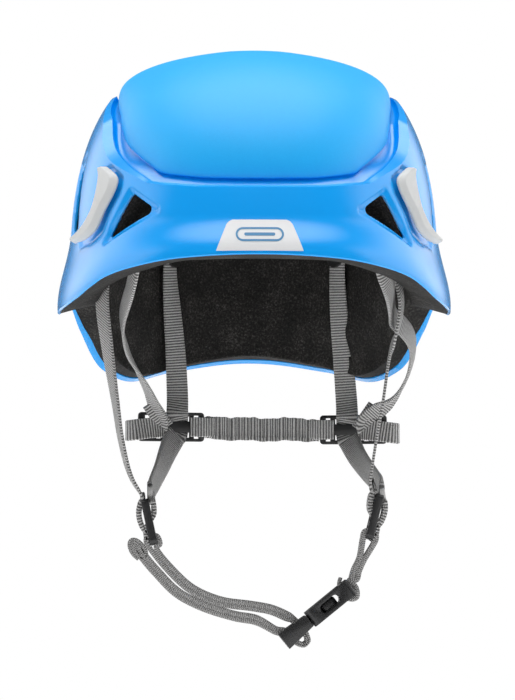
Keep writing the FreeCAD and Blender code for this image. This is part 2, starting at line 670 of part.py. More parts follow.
def chin_tail():
    """The return strand of the chin webbing and its rolled, sewn end."""
    strand = webbing(CHIN_TAIL, -1, DOUBLED)
    roll = block((-4.0, 4.0), (-WEBBING / 2, WEBBING / 2), (-6.0, 6.0))
    roll = rounded(roll, 3.4, 1)
    roll_x = (math.cos(ROLL_LEAN), 0, math.sin(ROLL_LEAN))
    roll_z = (-math.sin(ROLL_LEAN), 0, math.cos(ROLL_LEAN))
    roll = placed(roll, ROLL_AT, roll_x, roll_z)
    return strand.fuse(roll)


def build():
    """Every node of the helmet, by name."""
    straps = {
        "front_strap_left": (FRONT_LEFT, -1), "front_strap_right": (FRONT_RIGHT, 1),
        "size_strap_left": (SIZE_LEFT, -1), "size_strap_right": (SIZE_RIGHT, 1),
        "rear_strap_left": (REAR_LEFT, -1), "rear_strap_right": (REAR_RIGHT, 1),
    }
    nodes = {}
    anchors = {}
    reliefs = []
    for name, (route, side) in straps.items():
        nodes[name] = webbing(route, side)
        anchors[name.replace("strap", "anchor")] = strap_anchor(route, side)
        reliefs.append(webbing(route, side, WEBBING_THICK + 2 * RELIEF, WEBBING + 2 * RELIEF))
    cutters = vent_cutters()
    nodes["lower_shell"] = lower_shell(cutters)
    nodes["crown_cap"] = crown_cap()
    liner = foam_liner(cutters)
    for solid in reliefs + list(anchors.values()):
        liner = liner.cut(solid)
    nodes["foam_liner"] = liner
    for name, anchor in anchors.items():
        strap = name.replace("anchor", "strap")
        nodes[strap] = nodes[strap].cut(anchor)
        nodes[name] = anchor
    nodes["front_badge"] = front_badge()
    for word, side in (("left", -1), ("right", 1)):
        nodes["headlamp_clip_front_" + word] = headlamp_clip(CLIP_FRONT, side)
        nodes["headlamp_clip_rear_" + word] = headlamp_clip(CLIP_REAR, side)
    nodes["brow_pad"] = brow_pad()
    nodes["crown_pad"] = crown_pad()
    nodes["hook_patches"] = hook_patches()
    nodes["nape_band"] = webbing(NAPE, 1, BAND_THICK)
    nodes["nape_buckle_left"] = nape_buckle(NAPE_LEFT_AT, -1)
    nodes["nape_buckle_right"] = nape_buckle(NAPE_RIGHT_AT, 1)
    nodes["side_slider_left"] = side_slider(SLIDER_LEFT_AT, -1, SLIDER_LEFT_LEAN)
    nodes["side_slider_right"] = side_slider(SLIDER_RIGHT_AT, 1, SLIDER_RIGHT_LEAN)
    nodes["chin_strap_left"] = webbing(CHIN_LEFT, -1, DOUBLED)
    nodes["chin_strap_tail"] = chin_tail()
    nodes["chin_strap_right"] = webbing(CHIN_RIGHT, 1, DOUBLED)
    nodes["buckle_female"] = buckle_female()
    nodes["buckle_male"] = buckle_male()
    nodes["buckle_prong_front"] = buckle_prong(-1)
    nodes["buckle_prong_rear"] = buckle_prong(1)
    return nodes


os.makedirs("parts", exist_ok=True)
for node_name, node_shape in build().items():
    node_shape.exportStep("parts/" + node_name + ".step")
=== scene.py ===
import math
import bmesh
import bpy
import numpy as np
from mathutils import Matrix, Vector


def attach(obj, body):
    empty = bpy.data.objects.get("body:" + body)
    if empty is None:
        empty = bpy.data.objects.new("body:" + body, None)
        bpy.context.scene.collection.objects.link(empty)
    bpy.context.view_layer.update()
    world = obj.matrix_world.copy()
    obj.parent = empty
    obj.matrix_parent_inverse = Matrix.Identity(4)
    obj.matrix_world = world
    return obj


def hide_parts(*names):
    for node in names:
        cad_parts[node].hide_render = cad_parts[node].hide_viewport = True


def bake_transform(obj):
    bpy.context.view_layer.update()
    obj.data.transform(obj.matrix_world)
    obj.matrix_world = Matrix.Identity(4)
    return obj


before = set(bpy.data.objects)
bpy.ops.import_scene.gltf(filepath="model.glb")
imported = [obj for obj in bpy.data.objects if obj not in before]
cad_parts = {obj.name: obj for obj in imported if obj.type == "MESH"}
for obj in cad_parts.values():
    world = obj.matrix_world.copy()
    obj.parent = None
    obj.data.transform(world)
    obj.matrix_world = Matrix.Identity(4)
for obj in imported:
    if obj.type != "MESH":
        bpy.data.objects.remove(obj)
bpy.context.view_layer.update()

# The surfaces are worked out in millimetres, as the helmet's own formulas are, and turned to metres as
# each mesh is made. "turn" is the plan angle from the front over +X, "height" is above the front rim.
MM = 0.001
SEAT = 88.0
PLAN_POWER = 2.2
PLAN_CENTRE = 6.0
HALF_WIDTH = 103.5
FRONT_LENGTH = 133.0
REAR_LENGTH = 122.0
DOME_WIDE = 128.0
DOME_LONG = 126.0
SHELL_WALL = 1.5
CAP_WALL = 2.0
APEX = (0.0, -2.0, 126.8)
HEAD_HALF_WIDTH = 80.0
HEAD_HALF_LENGTH = 99.5
HEAD_CENTRE = -1.5
HEAD_FLARE = 8.0
FLARE_HEIGHT = 32.0
HEAD_FLARE_LONG = 0.25
HEAD_POWER = 2.4
HEAD_PLAN_POWER = 2.05
CEILING_SHARE = 0.985
PAD_GAP = 1.2
PAD_THICK = 4.6
HEAD_TOP = SEAT / CEILING_SHARE + PAD_GAP + PAD_THICK
WEBBING = 13.0

RIM = [(0, 0), (20, -1.4), (36, -4.9), (46, -8.4), (54, -13), (62, -17.5), (75, -20.5), (88, -21),
       (97, -14), (106, -28), (120, -48), (135, -54), (155, -47), (180, -41)]
LIP = [(0, 37.4), (15, 38), (23, 39.4), (33, 42), (38, 46.5), (46, 54), (54, 62.5), (60, 72), (67, 85),
       (90, 102.6), (120, 102), (150, 96), (180, 89)]
CHANNEL_WIDTH = [(0, 10), (45, 11), (58, 11), (66, 9), (90, 3), (135, 5), (180, 8)]
CHANNEL_RISE = [(0, 5.5), (45, 6), (58, 5), (66, 2), (90, 0.5), (135, 2), (180, 3)]
CHANNEL_DEPTH = 2.5
RIDGE = [(0, 1.3), (30, 1.7), (42, 3.0), (52, 4.8), (60, 5.0), (72, 2.6), (90, 1.2), (180, 1.8)]
CAP_POWER = [(0, 1.85), (90, 2.05), (180, 1.95)]
FLARE_SIZE = [(0, 7), (88, 7.5), (100, 1.5), (110, 0)]
FLARE_REACH = [(0, 22), (45, 28), (90, 45)]
MOUTH = [(0, 0), (22, 0), (46, -4.5), (70, -11), (86, -17), (97, -12), (108, -27), (120, -45),
         (135, -51), (155, -44), (180, -38)]


# ---------------------------------------------------------------- camera, lights and floor

CAMERA_DISTANCE = 1.8
CAMERA_AZIMUTH = math.radians(-1.4)
CAMERA_ELEVATION = math.radians(-4.0)


def make_camera():
    """The view is nearly square on, a little from below and from the helmet's -X side."""
    target = Vector((0.002, 0.0, -0.1293))
    level = math.cos(CAMERA_ELEVATION)
    back = Vector((math.sin(CAMERA_AZIMUTH) * level, -math.cos(CAMERA_AZIMUTH) * level,
                   math.sin(CAMERA_ELEVATION)))
    camera = bpy.data.objects.new("camera", bpy.data.cameras.new("camera"))
    bpy.context.scene.collection.objects.link(camera)
    camera.data.sensor_width = 36.0
    camera.data.lens = 164.8
    camera.data.clip_start = 0.05
    camera.data.clip_end = 20.0
    camera.location = target + back * CAMERA_DISTANCE
    camera.rotation_mode = "QUATERNION"
    camera.rotation_quaternion = (-back).to_track_quat("-Z", "Y")
    bpy.context.scene.camera = camera


def area_light(name, place, aim, size, power):
    """A rectangular light aimed at a point, which leaves no reflection of its own."""
    data = bpy.data.lights.new(name, "AREA")
    data.shape = "RECTANGLE"
    data.size = size[0]
    data.size_y = size[1]
    data.energy = power
    light = bpy.data.objects.new(name, data)
    bpy.context.scene.collection.objects.link(light)
    light.location = place
    light.rotation_mode = "QUATERNION"
    light.rotation_quaternion = (Vector(aim) - Vector(place)).to_track_quat("-Z", "Y")
    light.visible_glossy = False


def fade(tree, value, low, high):
    """Rises smoothly from 0 where the value is low to 1 where it is high."""
    node = tree.nodes.new("ShaderNodeMapRange")
    node.interpolation_type = "SMOOTHSTEP"
    node.inputs["From Min"].default_value = low
    node.inputs["From Max"].default_value = high
    link(tree, value, node.inputs["Value"])
    return node.outputs["Result"]


# Strengths of the room, the light overhead and the one at each side.
DIM = 0.15
OVERHEAD_POWER = 3.3
SIDE_POWER = 1.5


def studio_world():
    """A dim studio with a wide soft light overhead and one at each side, against a white backdrop."""
    world = bpy.data.worlds.new("studio")
    world.use_nodes = True
    tree = world.node_tree
    tree.nodes.clear()
    split = tree.nodes.new("ShaderNodeSeparateXYZ")
    link(tree, tree.nodes.new("ShaderNodeTexCoord").outputs["Generated"], split.inputs["Vector"])
    x, y, z = split.outputs["X"], split.outputs["Y"], split.outputs["Z"]
    overhead = maths(tree, "MULTIPLY", fade(tree, z, 0.74, 0.9), fade(tree, y, 0.6, 0.3))
    level = maths(tree, "MULTIPLY", fade(tree, z, -0.1, 0.2), fade(tree, z, 0.75, 0.5))
    outer = fade(tree, maths(tree, "ABSOLUTE", x, 0.0), 0.3, 0.6)
    beside = maths(tree, "MULTIPLY", outer, fade(tree, y, -0.45, -0.1))
    sides = maths(tree, "MULTIPLY", level, beside)
    lit = maths(tree, "ADD", maths(tree, "MULTIPLY", overhead, OVERHEAD_POWER),
                maths(tree, "MULTIPLY", sides, SIDE_POWER))
    light = tree.nodes.new("ShaderNodeBackground")
    link(tree, maths(tree, "ADD", lit, DIM), light.inputs["Strength"])
    backdrop = tree.nodes.new("ShaderNodeBackground")
    backdrop.inputs["Color"].default_value = (1.0, 1.0, 1.0, 1.0)
    light.inputs["Color"].default_value = (1.0, 1.0, 1.0, 1.0)
    mix = tree.nodes.new("ShaderNodeMixShader")
    link(tree, tree.nodes.new("ShaderNodeLightPath").outputs["Is Camera Ray"], mix.inputs["Fac"])
    link(tree, light.outputs["Background"], mix.inputs[1])
    link(tree, backdrop.outputs["Background"], mix.inputs[2])
    output = tree.nodes.new("ShaderNodeOutputWorld")
    link(tree, mix.outputs["Shader"], output.inputs["Surface"])
    return world


def make_studio():
    """The world, one soft key light and the floor."""
    bpy.context.scene.world = studio_world()
    bpy.context.scene.view_settings.view_transform = "Standard"
    area_light("key", (0.3, -1.3, 1.2), (0.0, 0.0, -0.05), (1.4, 0.8), 3.5)
    mesh = bpy.data.meshes.new("floor")
    reach = 4.0
    drop = -0.62
    corners = [(-reach, -reach, drop), (reach, -reach, drop), (reach, reach, drop), (-reach, reach, drop)]
    mesh.from_pydata(corners, [], [(0, 1, 2, 3)])
    floor = bpy.data.objects.new("floor", mesh)
    bpy.context.scene.collection.objects.link(floor)
    floor.data.materials.append(floor_material())


def floor_material():
    """A plain pale floor."""
    material, _, shader = nodes_of("floor")
    shader.inputs["Base Color"].default_value = (0.95, 0.95, 0.95, 1.0)
    shader.inputs["Roughness"].default_value = 0.9
    return material


# ---------------------------------------------------------------- the helmet's surfaces

def graded(table, turn):
    """A smooth monotone curve through a table, taken alike on both sides of the helmet."""
    place = np.abs((np.asarray(turn, float) + 180.0) % 360.0 - 180.0)
    xs = np.array([row[0] for row in table], float)
    ys = np.array([row[1] for row in table], float)
    slopes = np.diff(ys) / np.diff(xs)
    grades = np.zeros(len(xs))
    product = slopes[:-1] * slopes[1:]
    total = np.where(slopes[:-1] + slopes[1:] == 0, 1.0, slopes[:-1] + slopes[1:])
    grades[1:-1] = np.where(product > 0, 2 * product / total, 0.0)
    place = np.clip(place, xs[0], xs[-1])
    i = np.clip(np.searchsorted(xs, place, side="right") - 1, 0, len(xs) - 2)
    span = xs[i + 1] - xs[i]
    u = (place - xs[i]) / span
    ends = ys[i] * (1 + 2 * u) * (1 - u) ** 2 + ys[i + 1] * u * u * (3 - 2 * u)
    return ends + span * (grades[i] * u * (1 - u) ** 2 + grades[i + 1] * u * u * (u - 1))


def eased(value):
    """A smooth step from 0 to 1."""
    value = np.clip(value, 0.0, 1.0)
    return value * value * (3 - 2 * value)


def profile(height, size, closing, p, q, tuck):
    """Half size at a height: a dome that closes at the closing height, tucked in below the front rim."""
    above = np.clip(height, 0.0, closing * 0.999)
    dome = size * (1 - (above / closing) ** p) ** (1 / q)
    return np.where(height > 0, dome, size - tuck * (height / 50.0) ** 2)


def on_plan(turn, half_width, half_length, power):
    """Plan coordinates of a rounded rectangle, the front towards -Y."""
    s = np.sin(np.radians(turn))
    c = np.cos(np.radians(turn))
    x = half_width * np.sign(s) * np.abs(s) ** (2 / power)
    y = -half_length * np.sign(c) * np.abs(c) ** (2 / power)
    return x, y


def shell_point(turn, height):
    """Points on the outside of the lower shell."""
    turn, height = np.broadcast_arrays(np.asarray(turn, float), np.asarray(height, float))
    above = height - graded(RIM, turn)
    flare = graded(FLARE_SIZE, turn) * eased(1 - above / graded(FLARE_REACH, turn))
    half_width = profile(height, HALF_WIDTH, DOME_WIDE, 2.4, 3.2, 4.5) + flare
    front = profile(height, FRONT_LENGTH, DOME_LONG, 1.9, 2.0, 0)
    rear = profile(height, REAR_LENGTH, DOME_LONG, 2.6, 2.2, 14)
    half_length = np.where(np.cos(np.radians(turn)) > 0, front, rear) + flare
    x, y = on_plan(turn, half_width, half_length, PLAN_POWER)
    return np.stack([x, PLAN_CENTRE + y, height - SEAT], -1)


def unit(vectors):
    """Vectors scaled to a length of 1."""
    return vectors / np.maximum(np.linalg.norm(vectors, axis=-1, keepdims=True), 1e-12)


def shell_normal(turn, height):
    """Outward directions of the lower shell."""
    across = shell_point(turn + 0.5, height) - shell_point(turn - 0.5, height)
    upward = shell_point(turn, height + 0.5) - shell_point(turn, height - 0.5)
    return unit(np.cross(across, upward))


def inset(turn, height, depth):
    """Points a depth behind the outside of the lower shell."""
    return shell_point(turn, height) - shell_normal(turn, height) * np.asarray(depth)[..., None]


def beside_lip(turn, inward, rise):
    """Points measured level inward and up from the ridge that tops the lower shell."""
    lip = graded(LIP, turn)
    level = shell_normal(turn, lip) * np.array([1.0, 1.0, 0.0])
    point = shell_point(turn, lip) - unit(level) * np.asarray(inward + 0 * turn)[..., None]
    point[..., 2] += rise
    return point


def cap_point(turn, elevation, inward, drop, lift_edge=0.0):
    """Points on the crown dome, moved inward at the edge and down at the apex by the wall."""
    edge = beside_lip(turn, graded(CHANNEL_WIDTH, turn) + inward, graded(CHANNEL_RISE, turn) + lift_edge)
    power = graded(CAP_POWER, turn)
    reach = np.maximum(np.cos(np.radians(elevation)), 0.0) ** (2 / power)
    lift = np.sin(np.radians(elevation)) ** (2 / power)
    top = APEX[2] - SEAT - drop
    x = APEX[0] + (edge[..., 0] - APEX[0]) * reach
    y = APEX[1] + (edge[..., 1] - APEX[1]) * reach
    return np.stack([x, y, edge[..., 2] + (top - edge[..., 2]) * lift], -1)


def cavity_point(turn, height):
    """Points on the wall of the head cavity."""
    mouth = graded(MOUTH, turn)
    flare = HEAD_FLARE * (1 - eased((height - mouth) / FLARE_HEIGHT))
    above = np.clip(height, 0, HEAD_TOP * 0.9999) / HEAD_TOP
    closing = (1 - above ** HEAD_POWER) ** (1 / HEAD_POWER)
    half_width = HEAD_HALF_WIDTH * closing + flare
    half_length = HEAD_HALF_LENGTH * closing + flare * HEAD_FLARE_LONG
    x, y = on_plan(turn, half_width, half_length, HEAD_PLAN_POWER)
    return np.stack([x, HEAD_CENTRE + y, height - SEAT + 0 * x], -1)


# ---------------------------------------------------------------- mesh helpers

def mesh_object(name, points, faces, smooth_angle=40):
    """A mesh object from points in millimetres."""
    mesh = bpy.data.meshes.new(name)
    mesh.from_pydata([tuple(p) for p in (np.asarray(points) * MM).tolist()], [], faces)
    mesh.validate()
    mesh.update()
    obj = bpy.data.objects.new(name, mesh)
    bpy.context.scene.collection.objects.link(obj)
    tidy_normals(obj)
    shade(obj, smooth_angle)
    return obj


def tidy_normals(obj):
    """Turns the faces to point outward."""
    work = bmesh.new()
    work.from_mesh(obj.data)
    bmesh.ops.recalc_face_normals(work, faces=work.faces)
    work.to_mesh(obj.data)
    work.free()


def shade(obj, angle):
    """Smooth shading that stays sharp past an angle."""
    obj.data.shade_smooth()
    obj.data.set_sharp_from_angle(angle=math.radians(angle))


def ring_faces(rows, count, closed):
    """Quads between rows of count points each round a ring; closed joins the last row to the first."""
    faces = []
    for r in range(rows if closed else rows - 1):
        base = r * count
        above = ((r + 1) % rows) * count
        for k in range(count):
            after = (k + 1) % count
            faces.append((base + k, base + after, above + after, above + k))
    return faces


def apply_modifiers(obj):
    """Makes the modifiers' result the object's own mesh."""
    graph = bpy.context.evaluated_depsgraph_get()
    done = bpy.data.meshes.new_from_object(obj.evaluated_get(graph))
    obj.modifiers.clear()
    obj.data = done


def cut_with(obj, cutters):
    """Boolean difference with each cutter; the cutters are removed."""
    for cutter in cutters:
        modifier = obj.modifiers.new("cut", "BOOLEAN")
        modifier.operation = "DIFFERENCE"
        modifier.solver = "EXACT"
        modifier.object = cutter
        apply_modifiers(obj)
    remove(cutters)
    return obj


def remove(objects):
    """Takes objects out of the scene."""
    for obj in objects:
        bpy.data.objects.remove(obj)


# ---------------------------------------------------------------- materials

def nodes_of(name):
    """A new material, its node tree and its main shader."""
    material = bpy.data.materials.new(name)
    material.use_nodes = True
    tree = material.node_tree
    return material, tree, tree.nodes["Principled BSDF"]


def link(tree, source, target):
    """Joins two sockets."""
    tree.links.new(source, target)


def ramp(tree, factor, stops):
    """A colour ramp; stops are (position, (r, g, b))."""
    node = tree.nodes.new("ShaderNodeValToRGB")
    elements = node.color_ramp.elements
    while len(elements) < len(stops):
        elements.new(0.5)
    for element, (position, colour) in zip(elements, stops):
        element.position = position
        element.color = (colour[0], colour[1], colour[2], 1.0)
    link(tree, factor, node.inputs["Fac"])
    return node.outputs["Color"]


def noise(tree, scale, detail=2.0, rough=0.5, coordinate=None):
    """A noise value at a scale per metre."""
    node = tree.nodes.new("ShaderNodeTexNoise")
    node.inputs["Scale"].default_value = scale
    node.inputs["Detail"].default_value = detail
    node.inputs["Roughness"].default_value = rough
    if coordinate is None:
        coordinate = tree.nodes.new("ShaderNodeTexCoord").outputs["Object"]
    link(tree, coordinate, node.inputs["Vector"])
    return node.outputs["Fac"]


def bump(tree, shader, height, strength, distance):
    """Bumps the surface by a height value."""
    node = tree.nodes.new("ShaderNodeBump")
    node.inputs["Strength"].default_value = strength
    node.inputs["Distance"].default_value = distance
    link(tree, height, node.inputs["Height"])
    link(tree, node.outputs["Normal"], shader.inputs["Normal"])


def maths(tree, operation, first, second):
    """A math node; each operand is a socket or a number."""
    node = tree.nodes.new("ShaderNodeMath")
    node.operation = operation
    for slot, operand in zip(node.inputs, (first, second)):
        if isinstance(operand, (int, float)):
            slot.default_value = operand
        else:
            link(tree, operand, slot)
    return node.outputs["Value"]


def gloss_shell():
    """Glossy blue moulded plastic."""
    material, _, shader = nodes_of("shell_gloss")
    shader.inputs["Base Color"].default_value = (0.001, 0.345, 0.9, 1.0)
    shader.inputs["Roughness"].default_value = 0.2
    shader.inputs["Specular IOR Level"].default_value = 0.4
    shader.inputs["Coat Weight"].default_value = 0.4
    shader.inputs["Coat Roughness"].default_value = 0.06
    return material


def satin_cap():
    """Satin blue plastic with a fine grain."""
    material, tree, shader = nodes_of("cap_satin")
    grain = noise(tree, 2600.0, 3.0, 0.6)
    colour = ramp(tree, grain, [(0.3, (0.002, 0.37, 0.86)), (0.7, (0.012, 0.47, 0.97))])
    link(tree, colour, shader.inputs["Base Color"])
    shader.inputs["Roughness"].default_value = 0.46
    shader.inputs["Specular IOR Level"].default_value = 0.45
    bump(tree, shader, grain, 0.25, 0.0002)
    return material


def foam_black():
    """Moulded expanded foam: dark beads with paler seams and a speckle of light grains."""
    material, tree, shader = nodes_of("foam")
    place = tree.nodes.new("ShaderNodeTexCoord").outputs["Object"]
    beads = tree.nodes.new("ShaderNodeTexVoronoi")
    beads.inputs["Scale"].default_value = 420.0
    link(tree, place, beads.inputs["Vector"])
    grain = noise(tree, 900.0, 3.0, 0.7, place)
    cloud = noise(tree, 60.0, 2.0, 0.5, place)
    mixed = maths(tree, "ADD", maths(tree, "MULTIPLY", grain, 0.75), maths(tree, "MULTIPLY", cloud, 0.25))
    colour = ramp(tree, mixed, [(0.40, (0.010, 0.010, 0.010)), (0.52, (0.022, 0.021, 0.020)),
                                (0.62, (0.055, 0.053, 0.050)), (0.72, (0.14, 0.135, 0.13))])
    link(tree, colour, shader.inputs["Base Color"])
    shader.inputs["Roughness"].default_value = 0.85
    shader.inputs["Specular IOR Level"].default_value = 0.2
    height = maths(tree, "ADD", beads.outputs["Distance"], maths(tree, "MULTIPLY", grain, 0.6))
    bump(tree, shader, height, 0.5, 0.0006)
    return material


def plain_plastic(name, colour, roughness, grain_scale=1500.0, grain_strength=0.08):
    """One-colour plastic with a fine grain."""
    material, tree, shader = nodes_of(name)
    shader.inputs["Base Color"].default_value = (colour[0], colour[1], colour[2], 1.0)
    shader.inputs["Roughness"].default_value = roughness
    bump(tree, shader, noise(tree, grain_scale), grain_strength, 0.0003)
    return material


def cloth_black(name, pale):
    """A brushed knit for the pads and patches."""
    material, tree, shader = nodes_of(name)
    grain = noise(tree, 1800.0, 4.0, 0.7)
    colour = ramp(tree, grain, [(0.35, (0.012, 0.012, 0.013)), (0.7, (pale, pale, pale))])
    link(tree, colour, shader.inputs["Base Color"])
    shader.inputs["Roughness"].default_value = 0.95
    shader.inputs["Sheen Weight"].default_value = 0.3
    bump(tree, shader, grain, 0.6, 0.0006)
    return material


def webbing_grey(name, pitch, dark, light, twill, low=0.28, high=0.5):
    """Woven webbing: ribs across the strap, laid out by its UV map in metres, with a fine twist in them."""
    material, tree, shader = nodes_of(name)
    place = tree.nodes.new("ShaderNodeUVMap")
    place.uv_map = "weave"
    split = tree.nodes.new("ShaderNodeSeparateXYZ")
    link(tree, place.outputs["UV"], split.inputs["Vector"])
    across, length = split.outputs["X"], split.outputs["Y"]
    turns = 2 * math.pi / pitch
    wobble = maths(tree, "MULTIPLY", noise(tree, 700.0, 2.0), 0.9)
    ribs = maths(tree, "SINE", maths(tree, "ADD", maths(tree, "MULTIPLY", length, turns), wobble), 0.0)
    fine = maths(tree, "SINE", maths(tree, "ADD", maths(tree, "MULTIPLY", across, turns * 2.6),
                                     maths(tree, "MULTIPLY", length, turns * twill)), 0.0)
    fuzz = noise(tree, 2600.0, 3.0, 0.7)
    height = maths(tree, "ADD", maths(tree, "MULTIPLY", ribs, 0.5), maths(tree, "MULTIPLY", fine, 0.14))
    tone = maths(tree, "ADD", maths(tree, "MULTIPLY", height, 0.42), maths(tree, "MULTIPLY", fuzz, 0.75))
    colour = ramp(tree, tone, [(low, dark), (high, light)])
    link(tree, colour, shader.inputs["Base Color"])
    shader.inputs["Roughness"].default_value = 0.8
    shader.inputs["Sheen Weight"].default_value = 0.25
    bump(tree, shader, maths(tree, "ADD", height, maths(tree, "MULTIPLY", fuzz, 0.5)), 0.8, 0.00045)
    return material


MATERIALS = {
    "shell_gloss": gloss_shell(),
    "cap_satin": satin_cap(),
    "foam": foam_black(),
    "clip_grey": plain_plastic("clip_grey", (0.58, 0.59, 0.59), 0.42),
    "badge_grey": plain_plastic("badge_grey", (0.72, 0.73, 0.74), 0.45),
    "badge_mark": plain_plastic("badge_mark", (0.05, 0.22, 0.42), 0.45),
    "pad_cloth": cloth_black("pad_cloth", 0.05),
    "hook_tape": cloth_black("hook_tape", 0.03),
    "anchor_plastic": plain_plastic("anchor_plastic", (0.02, 0.02, 0.02), 0.5),
    "webbing": webbing_grey("webbing", 0.0016, (0.09, 0.089, 0.087), (0.58, 0.575, 0.57), 0.5),
    "webbing_edge": webbing_grey("webbing_edge", 0.0011, (0.17, 0.168, 0.165), (0.50, 0.495, 0.49), 1.2,
                                 0.1, 0.7),
    "elastic": webbing_grey("elastic", 0.0016, (0.12, 0.119, 0.117), (0.66, 0.655, 0.65), 0.2),
    "buckle_plastic": plain_plastic("buckle_plastic", (0.022, 0.022, 0.023), 0.4, 900.0, 0.15),
}


def paint(obj, name):
    """Gives a piece its material, as its one material slot."""
    obj.data.materials.clear()
    obj.data.materials.append(MATERIALS[name])
    return obj


# ---------------------------------------------------------------- shells

# Vents, as corner points (turn, height) on one side of the helmet, each with its corner radii.
FRONT_VENT = [(39.8, 36.5), (30.2, 25.8), (49.6, 11.6)]
SIDE_VENT = [(74, 63), (72, 24), (86, 22), (84, 60)]
REAR_SIDE_VENT = [(111, 72), (107, 42), (126, 40), (124, 68)]
REAR_VENT = [(150, 66), (147, 40), (165, 37), (166, 62)]
VENTS = [(FRONT_VENT, (2.0, 3.0, 1.3)), (SIDE_VENT, (3.5, 3.5, 3.5, 3.5)),
         (REAR_SIDE_VENT, (4.0, 4.0, 4.0, 4.0)), (REAR_VENT, (4.0, 4.0, 4.0, 4.0))]
# Where a vent's cutter starts outside the skirt, and how far in it reaches.
VENT_START = 12.0
VENT_REACH = 62.0
CORNER_STEPS = 6
CYLINDER_STEPS = 32
VENT_BEVEL = 3.2
VENT_SINK = 2.0
POCKET_ROOM = 1.6
POCKET_EDGE = 1.8
POCKET_SINK = 1.5
# The flange stands this far in from the cap's outside, which leaves a gap of 0.3 to its inside.
FLANGE = CAP_WALL + 0.3
FLANGE_IN = FLANGE + SHELL_WALL
FLOOR_SHARE = 0.55
SHELL_TURNS = 720
SHELL_TOP_DROP = 4.6
RIDGE_SLOPE = 0.75
CHANNEL_LOW_SHARE = 0.4
# Height of the bead inside the rear rim, against turn.
RIM_BEAD = [(0, 0), (96, 0), (112, 1.2), (180, 1.2)]
BEAD_DEPTH_SHARE = 2.4
SHELL_ROWS = 72
RIM_ROWS = 14
RIM_ROUND_SHARE = 0.4
RIDGE_SHARES = (0.06, 0.14, 0.5, 0.86, 0.94, 1.0)
CHANNEL_STEPS = 16
CHANNEL_SAG = 1.9
RIDGE_SAG = 0.3
FLANGE_TOP = 2.0
FLANGE_FOOT = -1.9


# Headlamp clips. Each station is the outer edge's turn and height, the inner edge's, and the underside's
# lift off the shell.
CLIP_FRONT = [(51.0, 52.0, 54.5, 50.6, 1.6), (45.0, 45.2, 53.6, 46.0, 1.2), (45.6, 37.8, 54.0, 38.6, 1.0),
              (50.2, 26.6, 55.4, 30.0, 1.2), (53.2, 18.2, 58.6, 22.8, 1.8), (59.0, 13.4, 63.0, 18.2, 2.4),
              (66.0, 12.4, 67.5, 15.6, 2.8)]
CLIP_REAR = [(138.5, 56.0, 135.0, 55.0, 1.6), (144.0, 49.0, 135.5, 49.5, 1.2),
             (143.5, 42.0, 135.0, 42.5, 1.0), (139.0, 31.0, 133.6, 34.0, 1.2),
             (136.0, 22.5, 130.5, 27.0, 1.8), (130.0, 17.5, 126.0, 22.0, 2.4),
             (123.0, 16.5, 121.5, 19.5, 2.8)]
CLIP_THICK = 3.6
CLIP_BEVEL = 4.5
CLIP_BEVEL_SHARE = 0.36
CLIP_BEVEL_START = 0.4
CLIP_CROWN = 0.5
CLIP_CREST = 1.6
CLIP_EDGE_SHARE = 0.7
CLIP_FOOT = 5.0
CLIP_FOOT_STATION = 1


def clip_outline(stations):
    """The outline a clip covers on the skirt, as (turn, height) corners."""
    outer = [station[0:2] for station in stations]
    inner = [station[2:4] for station in stations[::-1]]
    return outer + inner


def plan_metric():
    """Arc length round the skirt at mid height, in millimetres, against turn from 0 to 180."""
    turns = np.linspace(0, 180, 361)
    points = shell_point(turns, 25.0)
    steps = np.linalg.norm(np.diff(points, axis=0), axis=1)
    return turns, np.concatenate([[0], np.cumsum(steps)])


METRIC_TURNS, METRIC_ARCS = plan_metric()


def flat_place(turn, height):
    """Skirt coordinates in millimetres, the same on both sides."""
    folded = np.abs((np.asarray(turn, float) + 180.0) % 360.0 - 180.0)
    return np.stack([np.interp(folded, METRIC_TURNS, METRIC_ARCS), np.asarray(height, float)], -1)


def outline_distance(points, corners):
    """Signed distance from flat points to a closed outline, negative inside."""
    outline = np.array([flat_place(turn, height) for turn, height in corners])
    nearest = np.full(points.shape[:-1], 1e9)
    inside = np.zeros(points.shape[:-1], bool)
    for a, b in zip(outline, np.roll(outline, -1, axis=0)):
        edge = b - a
        along = np.clip(((points - a) @ edge) / (edge @ edge), 0, 1)
        gap = points - a - along[..., None] * edge
        nearest = np.minimum(nearest, np.linalg.norm(gap, axis=-1))
        crosses = (a[1] > points[..., 1]) != (b[1] > points[..., 1])
        rise = np.where(abs(b[1] - a[1]) < 1e-9, 1e-9, b[1] - a[1])
        reach = a[0] + (points[..., 1] - a[1]) * (b[0] - a[0]) / rise
        inside ^= crosses & (points[..., 0] < reach)
    return np.where(inside, -nearest, nearest)


def sink(turn, height):
    """How far the skirt's surface is pressed in around the vents and under the clips."""
    places = flat_place(turn, height)
    depth = np.zeros(places.shape[:-1])
    for corners, _ in VENTS:
        gap = outline_distance(places, corners)
        depth = np.maximum(depth, VENT_SINK * np.clip((VENT_BEVEL - gap) / VENT_BEVEL, 0, 1))
    for stations in (CLIP_FRONT, CLIP_REAR):
        gap = outline_distance(places, clip_outline(stations)) - POCKET_ROOM
        depth = np.maximum(depth, POCKET_SINK * eased(0.5 - gap / POCKET_EDGE))
    return depth


def skirt_rows(depth, rows, below_lip, turns):
    """Rows of points up the skirt at a depth behind its outside, the last one a distance below the lip."""
    result = []
    for share in np.linspace(0, 1, rows):
        height = graded(RIM, turns) + (graded(LIP, turns) - graded(RIM, turns) - below_lip) * share
        result.append(inset(turns, height, depth + sink(turns, height)))
    return result


def channel_row(turns, floor_share, inward, rise_share, rise):
    """A row beside the lip, at shares of the channel's width and rise."""
    width = floor_share * graded(CHANNEL_WIDTH, turns) + inward
    return beside_lip(turns, width, rise_share * graded(CHANNEL_RISE, turns) + rise)


